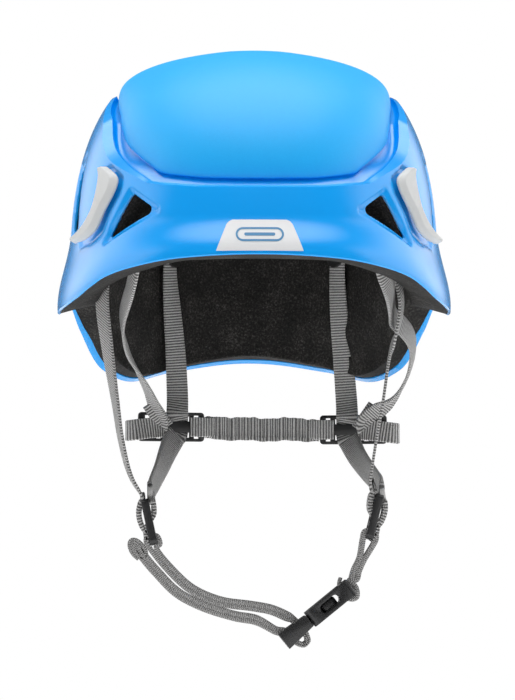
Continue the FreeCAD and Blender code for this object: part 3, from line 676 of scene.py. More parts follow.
def lower_shell():
    """The skirt, the ridge and channel that top it, and the flange under the cap."""
    turns = np.arange(SHELL_TURNS) * 360.0 / SHELL_TURNS
    ridge = graded(RIDGE, turns)
    width = graded(CHANNEL_WIDTH, turns)
    rise = graded(CHANNEL_RISE, turns)
    rim_in = skirt_rows(SHELL_WALL, RIM_ROWS, SHELL_TOP_DROP, turns)
    rim_out = skirt_rows(0.0, SHELL_ROWS, RIDGE_SLOPE * ridge, turns)
    rim_round = (rim_in[0] + rim_out[0]) / 2
    rim_round[:, 2] -= SHELL_WALL * RIM_ROUND_SHARE
    bead = graded(RIM_BEAD, turns)
    bead_depth = SHELL_WALL + 0.1 + BEAD_DEPTH_SHARE * bead
    bead_low = inset(turns, graded(RIM, turns), bead_depth) - [0, 0, 0.3]
    bead_high = inset(turns, graded(RIM, turns) + bead, bead_depth)
    foot, crest = rim_out[-1], beside_lip(turns, ridge, 0.0)
    channel = [foot + (crest - foot) * share for share in RIDGE_SHARES]
    low_in = ridge + (width + FLANGE - ridge) * CHANNEL_LOW_SHARE
    low_up = -CHANNEL_DEPTH * CHANNEL_SAG - RIDGE_SAG * ridge
    for u in np.linspace(0.06, 1.0, CHANNEL_STEPS):
        inward = ridge * (1 - u) ** 2 + low_in * 2 * u * (1 - u) + (width + FLANGE) * u * u
        up = low_up * 2 * u * (1 - u) + (rise - 1.0) * u * u
        channel.append(beside_lip(turns, inward, up))
    channel.append(channel_row(turns, 1, FLANGE, 1, FLANGE_TOP))
    channel.append(channel_row(turns, 1, FLANGE_IN, 1, FLANGE_TOP))
    channel.append(channel_row(turns, 1, FLANGE_IN, 1, FLANGE_FOOT))
    channel.append(channel_row(turns, FLOOR_SHARE, 0.6, 0, -CHANNEL_DEPTH - SHELL_WALL - 0.6))
    rows = [rim_round] + rim_out + channel + rim_in[::-1] + [bead_high, bead_low]
    shell = mesh_object("shell", np.concatenate(rows), ring_faces(len(rows), SHELL_TURNS, True), 38)
    return paint(cut_with(shell, [vent_cutter_mesh()]), "shell_gloss")


def rounded_outline(corners, radii):
    """Plane outline with its corners rounded; corners are 2-D."""
    corners = [np.array(c, float) for c in corners]
    result = []
    for i, (here, radius) in enumerate(zip(corners, radii)):
        before = unit(corners[i - 1] - here)
        after = unit(corners[(i + 1) % len(corners)] - here)
        half = math.acos(max(-1.0, min(1.0, float(before @ after)))) / 2
        centre = here + unit(before + after) * radius / math.sin(half)
        first = here + before * radius / math.tan(half) - centre
        last = here + after * radius / math.tan(half) - centre
        sweep = math.pi - 2 * half
        for k in range(CORNER_STEPS + 1):
            u = k / CORNER_STEPS
            point = (math.sin((1 - u) * sweep) * first + math.sin(u * sweep) * last) / math.sin(sweep)
            result.append(centre + point)
    return result


def vent_cutter_mesh():
    """All the vent prisms in one mesh."""
    points, faces = [], []
    for corners, radii in VENTS:
        for side in (1, -1):
            turn = side * sum(c[0] for c in corners) / len(corners)
            height = sum(c[1] for c in corners) / len(corners)
            normal = shell_normal(np.float64(turn), np.float64(height))
            centre = shell_point(turn, height) + normal * VENT_START
            level = unit(np.array([-normal[1], normal[0], 0.0]))
            up = np.cross(normal, level)
            flat = []
            for corner_turn, corner_height in corners:
                gap = shell_point(side * corner_turn, corner_height) - centre
                flat.append((gap @ level, gap @ up))
            outline = rounded_outline(flat, radii)
            base = len(points)
            count = len(outline)
            for reach in (0.0, VENT_REACH):
                for a, b in outline:
                    points.append(centre + level * a + up * b - normal * reach)
            faces.append(list(range(base, base + count)))
            faces.append(list(range(base + count, base + 2 * count)))
            for k in range(count):
                after = (k + 1) % count
                faces.append([base + k, base + after, base + count + after, base + count + k])
    return mesh_object("vent_cutters", points, faces)


def capped_rows(name, rows, first_tip, last_tip):
    """A closed mesh from a chain of rings whose first and last rings close to a point."""
    count = len(rows[0])
    points = list(np.concatenate(rows)) + [first_tip, last_tip]
    faces = ring_faces(len(rows), count, False)
    top = (len(rows) - 1) * count
    for k in range(count):
        after = (k + 1) % count
        faces.append((after, k, len(points) - 2))
        faces.append((top + k, top + after, len(points) - 1))
    return mesh_object(name, points, faces)


DOME_STEPS = [0, 1.5, 3, 5, 7, 9.5, 12, 15, 18, 21] + list(range(25, 82, 4)) + [84, 87, 89]
CAP_EDGE = [(1.7, -0.55), (1.2, -0.8), (0.7, -0.8), (0.25, -0.5)]     # inward and down, round the edge
CAP_TURNS = 480


def crown_cap():
    """The domed top shell with its rounded edge."""
    turns = np.arange(CAP_TURNS) * 360.0 / CAP_TURNS
    outer = [cap_point(turns, e, 0.0, 0.0) for e in DOME_STEPS]
    inner = [cap_point(turns, e, CAP_WALL, CAP_WALL) for e in DOME_STEPS]
    low = [cap_point(turns, 0.0, inward, 0.0, drop) for inward, drop in CAP_EDGE]
    tips = [(APEX[0], APEX[1], APEX[2] - SEAT - CAP_WALL), (APEX[0], APEX[1], APEX[2] - SEAT)]
    cap = capped_rows("cap", inner[::-1] + low + outer, tips[0], tips[1])
    return paint(cap, "cap_satin")


LINER_TURNS = 480
LINER_GAP = 0.3
LINER_DEPTH = SHELL_WALL + LINER_GAP
LINER_TOP_DROP = 5.4
LINER_ROOM = 0.5
LINER_EDGE = 2.4
LINER_ROWS = 26
# Rows of the head cavity, from its ceiling at 1 down to its mouth at 0, closer together at both ends.
CAVITY_SHARES = [0.99, 0.98, 0.965] + list(np.linspace(0.94, 0.05, 34)) + [0.03, 0.015]


def foam_liner():
    """The foam body, from the ceiling of the head cavity out to the shells."""
    turns = np.arange(LINER_TURNS) * 360.0 / LINER_TURNS
    mouth = graded(MOUTH, turns)
    cavity = []
    for share in CAVITY_SHARES:
        cavity.append(cavity_point(turns, mouth + (HEAD_TOP - mouth) * share))
    outer = skirt_rows(LINER_DEPTH, LINER_ROWS, LINER_TOP_DROP, turns)
    outer[0] = inset(turns, graded(RIM, turns) + graded(RIM_BEAD, turns), LINER_DEPTH + 0 * turns)
    edge_in = cavity_point(turns, mouth)
    edge_out = outer[0]
    level = (edge_out - edge_in) * [1.0, 1.0, 0.0]
    outward = unit(level)
    brim = [edge_in + outward * 0.7]
    for share in (0.1, 0.3, 0.5, 0.7, 0.9):
        brim.append(edge_in + outward * LINER_EDGE + (edge_out - edge_in - outward * LINER_EDGE) * share)
    cavity.append(edge_in + [0, 0, 0.8])
    shoulder = [channel_row(turns, FLOOR_SHARE, 1.2, 0, -CHANNEL_DEPTH - SHELL_WALL - 0.9),
                channel_row(turns, 1, FLANGE_IN + LINER_ROOM, 1, -2.6)]
    dome = [cap_point(turns, e, FLANGE_IN + LINER_ROOM, CAP_WALL + LINER_ROOM) for e in DOME_STEPS]
    ceiling = (0.0, HEAD_CENTRE, HEAD_TOP * 0.992 - SEAT)
    top = (APEX[0], APEX[1], APEX[2] - SEAT - CAP_WALL - LINER_ROOM)
    liner = capped_rows("liner", cavity + brim + outer + shoulder + dome, ceiling, top)
    return paint(cut_with(liner, [vent_cutter_mesh()] + strap_reliefs()), "foam")


def smooth_stations(stations, steps):
    """Catmull-Rom stations between the given ones."""
    rows = [np.array(s, float) for s in stations]
    result = []
    for i in range(len(rows) - 1):
        a, b, c, d = rows[max(i - 1, 0)], rows[i], rows[i + 1], rows[min(i + 2, len(rows) - 1)]
        for k in range(steps):
            u = k / steps
            result.append(0.5 * (2 * b + (c - a) * u + (2 * a - 5 * b + 4 * c - d) * u * u
                                 + (3 * b - a - 3 * c + d) * u ** 3))
    result.append(rows[-1])
    return np.array(result)


def headlamp_clip(name, stations, side, body):
    """A faceted blade that follows the shell, on a round foot."""
    path = smooth_stations(stations, 5)
    outer_turns, inner_turns = side * path[:, 0], side * path[:, 2]
    turns, heights = (outer_turns + inner_turns) / 2, (path[:, 1] + path[:, 3]) / 2
    centres = shell_point(turns, heights)
    normals = shell_normal(turns, heights)
    across = shell_point(inner_turns, path[:, 3]) - shell_point(outer_turns, path[:, 1])
    across = across - normals * (across * normals).sum(-1, keepdims=True)
    widths = np.linalg.norm(across, axis=-1)
    across = across / widths[:, None]
    bevel = np.minimum(CLIP_BEVEL, widths * CLIP_BEVEL_SHARE)
    half = widths / 2
    outline = [(-half, 0.0), (-half, CLIP_BEVEL_START), (bevel - half, 1.0),
               (half - CLIP_CREST, 1.0 + CLIP_CROWN / CLIP_THICK), (half, CLIP_EDGE_SHARE), (half, 0.0)]
    rows = []
    for reach, share in outline:
        lift = path[:, 4] + share * CLIP_THICK
        rows.append(centres + normals * lift[:, None] + across * reach[:, None])
    points = np.stack(rows, 1).reshape(-1, 3)
    faces = ring_faces(len(path), len(rows), False)
    last = (len(path) - 1) * len(rows)
    faces += [list(range(len(rows)))[::-1], list(range(last, last + len(rows)))]
    blade = mesh_object(name, points, faces, 30)
    add_bevel(blade, 0.6, 3, 14)
    middle = len(path) // (len(stations) - 1) * CLIP_FOOT_STATION
    base = centres[middle] - normals[middle] * 2.0
    foot = cylinder_mesh("foot", base, normals[middle], CLIP_FOOT / 2, path[middle, 4] + 3.0)
    joined(blade, [foot])
    paint(blade, "clip_grey")
    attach(blade, body)
    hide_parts(name)


def add_bevel(obj, width, segments, angle):
    """Rounds the edges sharper than an angle."""
    modifier = obj.modifiers.new("bevel", "BEVEL")
    modifier.width = width * MM
    modifier.segments = segments
    modifier.limit_method = "ANGLE"
    modifier.angle_limit = math.radians(angle)
    modifier.harden_normals = True
    apply_modifiers(obj)


def cylinder_mesh(name, base, axis, radius, length):
    """A closed cylinder from its base, along an axis."""
    count = CYLINDER_STEPS
    axis = Vector(axis).normalized()
    side = axis.orthogonal().normalized()
    other = axis.cross(side)
    points = []
    for reach in (0.0, length):
        for k in range(count):
            a = 2 * math.pi * k / count
            points.append(Vector(base) + axis * reach + (side * math.cos(a) + other * math.sin(a)) * radius)
    faces = [list(range(count))[::-1], list(range(count, 2 * count))]
    faces += [(k, (k + 1) % count, count + (k + 1) % count, count + k) for k in range(count)]
    return mesh_object(name, points, faces)


def joined(obj, others):
    """Adds the others' meshes to obj's and removes them."""
    work = bmesh.new()
    work.from_mesh(obj.data)
    for other in others:
        work.from_mesh(other.data)
    work.to_mesh(obj.data)
    work.free()
    remove(others)
    return obj


BADGE_HEIGHTS = [1.2, 15.4, 17.2, 17.8]
BADGE_HALVES = [22.6, 17.2, 15.6, 14.2]     # half width at each of those heights
BADGE_ROWS = 22
BADGE_COLUMNS = 40
BADGE_THICK = 0.8
MARK_HEIGHT = 9.6
MARK_LIFT = 0.2
MARK_STEPS = 16
MARK_RINGS = [(12.5, 3.8, 1.0), (8.0, 0.8, 0.78)]     # half length, half height and line width


def brow_point(x, height, lift):
    """The point on the brow at an x and a height, lifted off the shell."""
    turns = np.linspace(-20, 20, 401)
    x, height = np.broadcast_arrays(np.asarray(x, float), np.asarray(height, float))
    flat_x, flat_height = x.ravel(), height.ravel()
    found = np.array([np.interp(a, shell_point(turns, h)[:, 0], turns) for a, h in zip(flat_x, flat_height)])
    return inset(found, flat_height, -lift + 0 * found)


def front_badge():
    """The plate on the brow, as two grids joined round their rim, and the device on it."""
    heights = np.linspace(BADGE_HEIGHTS[0], BADGE_HEIGHTS[-1], BADGE_ROWS)
    halves = np.interp(heights, BADGE_HEIGHTS, BADGE_HALVES)
    grids = []
    for lift in (LINER_GAP, LINER_GAP + BADGE_THICK):
        grids += [brow_point(np.linspace(-w, w, BADGE_COLUMNS), h, lift) for h, w in zip(heights, halves)]
    faces = []
    size = BADGE_ROWS * BADGE_COLUMNS
    place = np.arange(size).reshape(BADGE_ROWS, BADGE_COLUMNS).tolist()
    for low, high in zip(place, place[1:]):
        for c in range(BADGE_COLUMNS - 1):
            faces.append((low[c], high[c], high[c + 1], low[c + 1]))
            faces.append((size + low[c], size + low[c + 1], size + high[c + 1], size + high[c]))
    rim = place[0] + [row[-1] for row in place[1:]] + place[-1][-2::-1] + [row[0] for row in place[-2:0:-1]]
    for a, b in zip(rim, rim[1:] + rim[:1]):
        faces.append((a, b, size + b, size + a))
    badge = mesh_object("badge", np.concatenate(grids), faces, 30)
    paint(badge, "badge_grey")
    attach(badge, "helmet")
    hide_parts("front_badge")
    mark = badge_mark()
    mark.data.materials.append(MATERIALS["badge_mark"])
    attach(mark, "helmet")


def badge_mark():
    """A plain generic device: a long ring with a bar inside it."""
    bands = [ring_band(half_long, half_tall, width) for half_long, half_tall, width in MARK_RINGS]
    return joined(bands[0], bands[1:])


def stadium(half_long, half_tall):
    """An outline of two straights and two half circles, as (x, height) about the mark's middle."""
    points = []
    count = MARK_STEPS
    straight = half_long - half_tall
    for end in (1, -1):
        for k in range(count + 1):
            a = math.pi * (k / count - 0.5)
            x = end * (straight + half_tall * math.cos(a))
            points.append((x, MARK_HEIGHT + end * half_tall * math.sin(a)))
        for k in range(1, count):
            points.append((end * straight * (1 - 2 * k / count), MARK_HEIGHT + end * half_tall))
    return points


def ring_band(half_long, half_tall, width):
    """A raised line of a width round a stadium."""
    outer = np.array(stadium(half_long, half_tall))
    inner = np.array(stadium(half_long - width, half_tall - width))
    count = len(outer)
    top = LINER_GAP + BADGE_THICK
    layers = [brow_point(o[:, 0], o[:, 1], lift) for lift in (top, top + MARK_LIFT) for o in (outer, inner)]
    faces = []
    for k in range(count):
        after = (k + 1) % count
        faces.append((2 * count + k, 2 * count + after, 3 * count + after, 3 * count + k))
        faces.append((k, after, 2 * count + after, 2 * count + k))
        faces.append((count + after, count + k, 3 * count + k, 3 * count + after))
        faces.append((after, k, count + k, count + after))
    return mesh_object("badge_mark", np.concatenate(layers), faces, 30)


# ---------------------------------------------------------------- webbing

WEBBING_THICK = 1.6
RELIEF = 0.5
# Stations along each strap, as (x, y, height, facing); facing is the plan angle its face looks, from
# straight out at 0 towards the front.
FRONT_LEFT = [(-83, -25, 14, 30), (-84.7, -22, -15, 32), (-82, -20, -40, 27), (-77.4, -17, -71, 16),
              (-74.2, -14, -92.5, 12), (-69.5, -11, -111, 9), (-63.5, -9, -122, 6)]
FRONT_RIGHT = [(77.5, -28, 14, 34), (79.4, -28.5, -4, 20), (81, -28, -19, 12), (78.4, -25.5, -34, 8),
               (75, -20, -46, 4), (71.5, -16, -71, 4), (67.5, -12, -95, 4), (64.8, -9.3, -116, 4)]
SIZE_LEFT = [(-63.5, -64, 16, 24), (-66, -60, 0, 20), (-69, -48, -12, 20), (-73.6, -20, -25, 18),
             (-73, 5, -35.4, 20), (-69.4, 26, -44.2, 30), (-62.8, 46, -55.5, 42), (-57.5, 61, -66, 44)]
SIZE_RIGHT = [(66, -62, 14, 52), (70, -56, -2, 50), (73.8, -44, -12, 38), (75.9, -28, -20, 28),
              (77.2, -19, -24.5, 26), (83.5, -8, -29, 24), (88.3, 4, -33.7, 24), (90.6, 16, -40, 26),
              (89.8, 32, -50.4, 30), (85.4, 48, -60.9, 38), (78.1, 60, -68.4, 50)]
REAR_LEFT = [(-47, 72.5, 26, -30), (-47.5, 74.5, 8, -34), (-46, 76.5, -14, -50), (-44, 79, -40, -62),
             (-43, 80.5, -62, -72), (-43, 77.3, -72.5, -76), (-43, 78.8, -76.2, -76), (-43, 82.4, -81, -76),
             (-43.2, 79, -85.2, -76), (-44.6, 75.5, -87.6, -74), (-48.2, 64, -95, -66),
             (-51.5, 45, -104, -54), (-54.5, 24, -112, -36), (-57.6, 4, -119.5, -18)]
REAR_RIGHT = [(51, 70.5, 26, -34), (50.5, 72.5, 8, -38), (51.5, 75, -14, -48), (54, 78, -40, -58),
              (56, 80.3, -63, -70), (56.3, 76.8, -74, -76), (56.4, 78.3, -77.7, -76), (56.4, 82, -82.5, -76),
              (56.6, 78.5, -87.1, -76), (57.8, 75.5, -90, -74), (61.5, 60, -99, -64), (65.5, 40, -107, -50),
              (69, 20, -113.5, -28), (71.3, 5, -118, -8)]
NAPE = [(-26.7, 83.5, -81, 104), (-12, 87.5, -81.5, 98), (6, 89, -82, 90), (25, 87.5, -82, 82),
        (39.9, 83, -82.5, 76)]
HANG = -8.0
PATH_STEPS = 10


def strap_frames(stations, side, steps=PATH_STEPS):
    """Centre points and width directions along webbing given as (x, y, height, facing)."""
    path = smooth_stations(stations, steps)
    centres = path[:, :3] - [0, 0, SEAT]
    facing = np.radians(path[:, 3])
    face = np.stack([side * np.cos(facing), -np.sin(facing), 0 * facing], -1)
    return centres, unit(np.cross(unit(np.gradient(centres, axis=0)), face))


def run_lengths(centres):
    """The length along a line of points up to each of them."""
    return np.concatenate([[0], np.cumsum(np.linalg.norm(np.diff(centres, axis=0), axis=1))])


# One face of a ribbon: places across it, and how much of its thickness is there.
RIBBON_SIDE = [(-1, 0.35), (-0.93, 1), (-0.5, 1), (0, 1), (0.5, 1), (0.93, 1), (1, 0.35)]


def ribbon(centres, across, thick=WEBBING_THICK, width=WEBBING, skew=0.0, start=0.0):
    """Points, faces and weave coordinates of a closed ribbon with softly rounded edges."""
    along = unit(np.gradient(centres, axis=0))
    through = unit(np.cross(across, along))
    thick = np.broadcast_to(thick, len(centres))[:, None]
    width = np.broadcast_to(width, len(centres))[:, None]
    section = RIBBON_SIDE + [(u, -c) for u, c in RIBBON_SIDE[::-1]]
    lengths = run_lengths(centres) + start
    points, weave = [], []
    for u, c in section:
        points.append(centres + across * (u * width / 2) + through * (c * thick / 2))
        weave.append(np.stack([u * width[:, 0] / 2, lengths + skew * u * width[:, 0] / 2], -1) * MM)
    count = len(section)
    points = np.stack(points, 1).reshape(-1, 3)
    weave = np.stack(weave, 1).reshape(-1, 2)
    faces = ring_faces(len(centres), count, False)
    last = (len(centres) - 1) * count
    faces += [list(range(count))[::-1], list(range(last, last + count))]
    return points, faces, weave


def strap_mesh(name, ribbons):
    """One object from several ribbons, with the weave coordinates as its UV map."""
    points, faces, weave = [], [], []
    for ribbon_points, ribbon_faces, ribbon_weave in ribbons:
        base = sum(len(p) for p in points)
        points.append(ribbon_points)
        weave.append(ribbon_weave)
        faces += [[base + i for i in face] for face in ribbon_faces]
    obj = mesh_object(name, np.concatenate(points), faces, 50)
    weave = np.concatenate(weave)
    layer = obj.data.uv_layers.new(name="weave")
    corners = np.zeros(len(obj.data.loops), np.int32)
    obj.data.loops.foreach_get("vertex_index", corners)
    layer.data.foreach_set("uv", weave[corners].ravel().astype(np.float32))
    return paint(obj, "webbing")


def strap_reliefs():
    """Cutters for the slots that the webbing leaves the liner through."""
    cutters = []
    straps = [(FRONT_LEFT, -1), (FRONT_RIGHT, 1), (SIZE_LEFT, -1), (SIZE_RIGHT, 1), (REAR_LEFT, -1),
              (REAR_RIGHT, 1)]
    for stations, side in straps:
        centres, across = strap_frames(stations[:4], side, 6)
        slot = ribbon(centres, across, WEBBING_THICK + 2 * RELIEF, WEBBING + 2 * RELIEF)
        cutters.append(mesh_object("relief", slot[0], slot[1]))
    return [joined(cutters[0], cutters[1:])]


def strap_pieces(name, centres, across, cuts, bodies, skew, thick):
    """Cuts a strap at its station numbers into pieces; a piece whose pair names one body is attached to it,
    the others are left unattached.
    """
    lengths = run_lengths(centres)
    marks = [0] + [c * PATH_STEPS for c in cuts] + [len(centres) - 1]
    for i, pair in enumerate(bodies):
        a, b = marks[i], marks[i + 1]
        run = ribbon(centres[a:b + 1], across[a:b + 1], thick[a:b + 1], skew=skew, start=lengths[a])
        piece = strap_mesh(name + "_" + str(i + 1), [run])
        if pair[0] == pair[1]:
            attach(piece, pair[0])
        else:
            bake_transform(piece)
        if i == 0:
            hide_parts(name)


SLIDER_LEFT_AT = (-58.5, HANG, -138.0)
SLIDER_RIGHT_AT = (66.8, HANG, -135.0)
SLIDER_LEFT_LEAN = math.radians(12)
SLIDER_RIGHT_LEAN = math.radians(14)


def on_slider(points, at, side, lean):
    """Turns (out, y, up) points in a slider's own frame into helmet stations; out is away from the head."""
    result = []
    for out, y, up in points:
        x = at[0] + side * (out * math.cos(lean) + up * math.sin(lean))
        z = at[2] - out * math.sin(lean) + up * math.cos(lean)
        result.append((x, at[1] + y, z))
    return result


def blended_path(stations, extra, side, facings):
    """A strap's stations continued by points (x, y, height) that take the given facings."""
    longer = list(stations) + [(p[0], p[1], p[2], f) for p, f in zip(extra, facings)]
    return strap_frames(longer, side)


OUTER_WEAVE = [(0.9, 0, 13.4), (3.0, 0, 10.4), (4.5, 0, 6.6), (4.9, 0, 2.4), (4.2, 0, -2.0), (2.4, 0, -5.4),
               (-0.6, 0, -7.6)]
INNER_WEAVE = [(-3.6, 0, 15.2), (-4.4, 0, 11.6), (-4.2, 0, 7.4), (-3.2, 0, 3.6), (-0.2, 0, 0.2),
               (2.4, 0, -3.6), (3.2, 0, -8.0), (2.6, 0, -11.0), (1.8, 0, -13.6)]
WEAVE_SWELL = 1.4
SIZE_SKEW = 0.25


def weave_thick(stations, count):
    """Thickness along a strap, which grows where the webbing is doubled round its slider."""
    return WEBBING_THICK + WEAVE_SWELL * eased(np.arange(count) / PATH_STEPS - len(stations) + 1)


def side_straps():
    """The front and rear straps, each threaded round its side slider."""
    plans = [
        ("front_strap_left", FRONT_LEFT, -1, OUTER_WEAVE, SLIDER_LEFT_AT, SLIDER_LEFT_LEAN, 0.55),
        ("front_strap_right", FRONT_RIGHT, 1, INNER_WEAVE, SLIDER_RIGHT_AT, SLIDER_RIGHT_LEAN, -0.3),
        ("rear_strap_left", REAR_LEFT, -1, INNER_WEAVE, SLIDER_LEFT_AT, SLIDER_LEFT_LEAN, 0.0),
        ("rear_strap_right", REAR_RIGHT, 1, OUTER_WEAVE, SLIDER_RIGHT_AT, SLIDER_RIGHT_LEAN, 0.0),
    ]
    for name, stations, side, weave, at, lean, skew in plans:
        slider = "slider_left" if side < 0 else "slider_right"
        centres, across = blended_path(stations, on_slider(weave, at, side, lean), side, [0] * len(weave))
        thick = weave_thick(stations, len(centres))
        if name.startswith("front"):
            piece = strap_mesh(name + "_1", [ribbon(centres, across, thick, skew=skew)])
            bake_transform(piece)
            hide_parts(name)
        else:
            bodies = [("helmet", "size_carriage"), ("size_carriage", "nape_carriage"),
                      ("nape_carriage", "nape_carriage"), ("nape_carriage", "size_carriage"),
                      ("size_carriage", "helmet"), ("helmet", slider)]
            strap_pieces(name, centres, across, [3, 5, 7, 9, 11], bodies, skew, thick)


NAPE_LEFT_AT = (-43.0, 79.5, -81.0)
NAPE_RIGHT_AT = (56.4, 79.0, -82.5)
NAPE_BUCKLE_TURN = math.radians(14)


def on_nape_buckle(points, at, side):
    """Turns (out, back, up) points in a nape buckle's own frame into helmet points."""
    result = []
    for out, back, up in points:
        x = at[0] + side * (out * math.cos(NAPE_BUCKLE_TURN) + back * math.sin(NAPE_BUCKLE_TURN))
        y = at[1] - out * math.sin(NAPE_BUCKLE_TURN) + back * math.cos(NAPE_BUCKLE_TURN)
        result.append((x, y, at[2] + up))
    return result


def free_ribbon(points, widths_along, thick, width):
    """A ribbon through (x, y, height) points whose width runs along the directions given at each point."""
    rows = [tuple(p) + tuple(d) for p, d in zip(points, widths_along)]
    path = smooth_stations(rows, TAIL_STEPS)
    centres = path[:, :3] - [0, 0, SEAT]
    along = unit(np.gradient(centres, axis=0))
    across = path[:, 3:6]
    across = unit(across - along * (across * along).sum(-1, keepdims=True))
    return ribbon(centres, across, thick, width)


# Routes in a nape buckle's own frame, as (out, back, up).
TAIL_STEPS = 8
SIZE_THREAD = [(12.4, -6.0, 5.0), (11.6, -1.8, 1.0), (11.6, 2.0, -1.0)]
SIZE_THREAD_FACINGS = [52, 70, 76]
TAIL_LOOP = [(7.6, -2.9, -0.5), (12.0, -3.7, -0.5), (19.0, -5.4, -1.2), (26.5, -5.2, -2.2),
             (30.2, -1.0, -2.6), (27.0, 3.8, -2.0), (19.5, 4.2, -1.0), (12.6, 2.6, -0.4)]
TAIL_LOOP_SIZE = (2.2, 12.0)            # thickness and width
TAIL_TAB = [(7.8, -3.4, 0.0), (11.2, -5.0, 4.0), (14.8, -6.4, 8.6), (18.2, -7.0, 13.2)]
TAIL_TAB_ACROSS = [(0.84, 0.1, -0.54), (0.8, 0.15, -0.6), (0.7, 0.2, -0.7), (0.55, 0.2, -0.8)]
TAIL_TAB_SIZE = (2.6, 9.5)
BAND_FRONT_FOLD = [(-7.4, -2.8, 0), (-10.5, -3.3, 0), (-15.0, -3.4, 0), (-20.0, -1.6, 0)]
BAND_BACK_FOLD = [(-12.2, 0.6, 0), (-14.4, 2.9, 0), (-17.6, 3.2, 0), (-21.0, 1.4, 0)]
BAND_FOLD_SIZE = (1.9, 11.4)


def size_straps():
    """The straps from the temples to the nape buckles, with the folded tail beyond each buckle."""
    bodies = [("helmet", "size_carriage"), ("size_carriage", "nape_carriage")]
    for name, stations, side, at in (("size_strap_left", SIZE_LEFT, -1, NAPE_LEFT_AT),
                                     ("size_strap_right", SIZE_RIGHT, 1, NAPE_RIGHT_AT)):
        threaded = on_nape_buckle(SIZE_THREAD, at, side)
        centres, across = blended_path(stations, threaded, side, SIZE_THREAD_FACINGS)
        thick = np.full(len(centres), WEBBING_THICK)
        strap_pieces(name, centres, across, [4], bodies, SIZE_SKEW * side, thick)
        upright = [(0, 0.1, 1)] * len(TAIL_LOOP)
        loop = free_ribbon(on_nape_buckle(TAIL_LOOP, at, side), upright, *TAIL_LOOP_SIZE)
        tab_across = [(side * x, y, z) for x, y, z in TAIL_TAB_ACROSS]
        tab = free_ribbon(on_nape_buckle(TAIL_TAB, at, side), tab_across, *TAIL_TAB_SIZE)
        tails = strap_mesh(name + "_tail", [loop, tab])
        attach(tails, "nape_carriage")


BAND_THICK = 2.0
BAND_END_WIDTH = 11.6
BAND_WIDENING = 1.8
BAND_EASE = 9.0
HEM_DROP = 5.6
HEM_SIZE = (3.0, 2.4)


def ripple(lengths, size, pitch, phase=0.0):
    """A wave along the gathered band."""
    return size * np.sin(lengths * 2 * math.pi / pitch + phase)


def nape_band():
    """Elastic band gathered between the nape buckles, with a fold into each buckle."""
    path = smooth_stations(NAPE, 24)
    centres = path[:, :3] - [0, 0, SEAT]
    lengths = run_lengths(centres)
    facing = np.radians(path[:, 3])
    forward = np.stack([np.cos(facing), -np.sin(facing), 0 * facing], -1)
    wave = ripple(lengths, 0.35, 7.3) + ripple(lengths, 0.25, 4.1, 1.0)
    centres = centres + forward * wave[:, None]
    centres[:, 2] += ripple(lengths, 0.35, 23.0, 0.8) + ripple(lengths, 0.2, 9.0)
    across = np.tile([0.0, 0.0, 1.0], (len(centres), 1))
    ease = np.clip(np.minimum(lengths, lengths[-1] - lengths) / BAND_EASE, 0, 1)
    width = BAND_END_WIDTH + BAND_WIDENING * ease + ripple(lengths, 0.35, 5.7)
    body = ribbon(centres, across, BAND_THICK, width)
    hem = ribbon(centres - [0, 0, HEM_DROP], across, *HEM_SIZE)
    ribbons = [body, hem]
    for at, side in ((NAPE_LEFT_AT, -1), (NAPE_RIGHT_AT, 1)):
        end = centres[0] if side < 0 else centres[-1]
        for fold in (BAND_FRONT_FOLD, BAND_BACK_FOLD):
            points = on_nape_buckle(fold, at, side)
            points.append((end[0], end[1], points[0][2]))
            ribbons.append(free_ribbon(points, [(0, 0, 1)] * len(points), *BAND_FOLD_SIZE))
    band = strap_mesh("nape_elastic", ribbons)
    paint(band, "elastic")
    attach(band, "nape_carriage")
    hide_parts("nape_band")


# ---------------------------------------------------------------- chin straps

CHIN_LEFT = [(-55.5, -153.5), (-48, -163), (-35, -175), (-19, -182), (-2, -184.5), (9, -186.5), (17.5, -190)]
CHIN_TAIL = [(-64.5, -153.0), (-60.6, -158.4), (-54.4, -165.6), (-43, -177), (-28.6, -184.6), (-11.4, -190),
             (1.2, -192.4)]
STRAND_THICK = 2.9
STRAND_GAP = 1.42
CHIN_RIGHT = [(62.5, -150.5), (60, -158), (57, -164.5), (55.5, -169.5)]
# Routes in the chin buckle's own frame, as (along, up), and round a slider's lowest bar, as (x, height).
INTO_PLUG = [(-6.9, 6.4), (-6.2, 2.0), (-6.1, -3.6), (-7.6, -8.0), (-10.4, -8.6)]
INTO_PLUG_GAPS = [0.85, 0.8, 0.8, 0.8, 0.8]
OUT_OF_PLUG = [(-18.0, 7.4), (-14.6, 3.6), (-13.5, -1.0), (-13.0, -5.4), (-11.2, -8.3), (-9.0, -8.7)]
OUT_OF_PLUG_GAPS = [1.0, 0.85, 0.8, 0.8, 0.8, 0.8]
ROUND_SOCKET = [(31.4, 3.0), (31.6, -2.0), (28.6, -6.4), (24.6, -4.6), (24.2, 0.6), (25.6, 5.0), (28.6, 7.4)]
ROUND_BAR_LEFT = [(3.6, -0.8), (2.1, 3.4), (-1.9, 3.4), (-3.6, -0.6)]
ROUND_BAR_RIGHT = [(3.6, -1.4), (2.0, 3.3), (-2.1, 3.2), (-3.5, -1.0)]
SLIDER_LOW_BAR = -11.6
BUCKLE_AT = (30.5, HANG, -192.5)
BUCKLE_SLOPE = math.radians(39)
ROLL_AT = (-64.4, -153.2)
ROLL_LEAN = math.radians(38)
ROLL_TURNS = 2.6
ROLL_STEPS = 34
ROLL_THICK = 1.75


def on_buckle(points):
    """Turns (along, up) points in the chin buckle's own frame into (x, height)."""
    c, s = math.cos(BUCKLE_SLOPE), math.sin(BUCKLE_SLOPE)
    return [(BUCKLE_AT[0] + along * c - up * s, BUCKLE_AT[2] + along * s + up * c) for along, up in points]


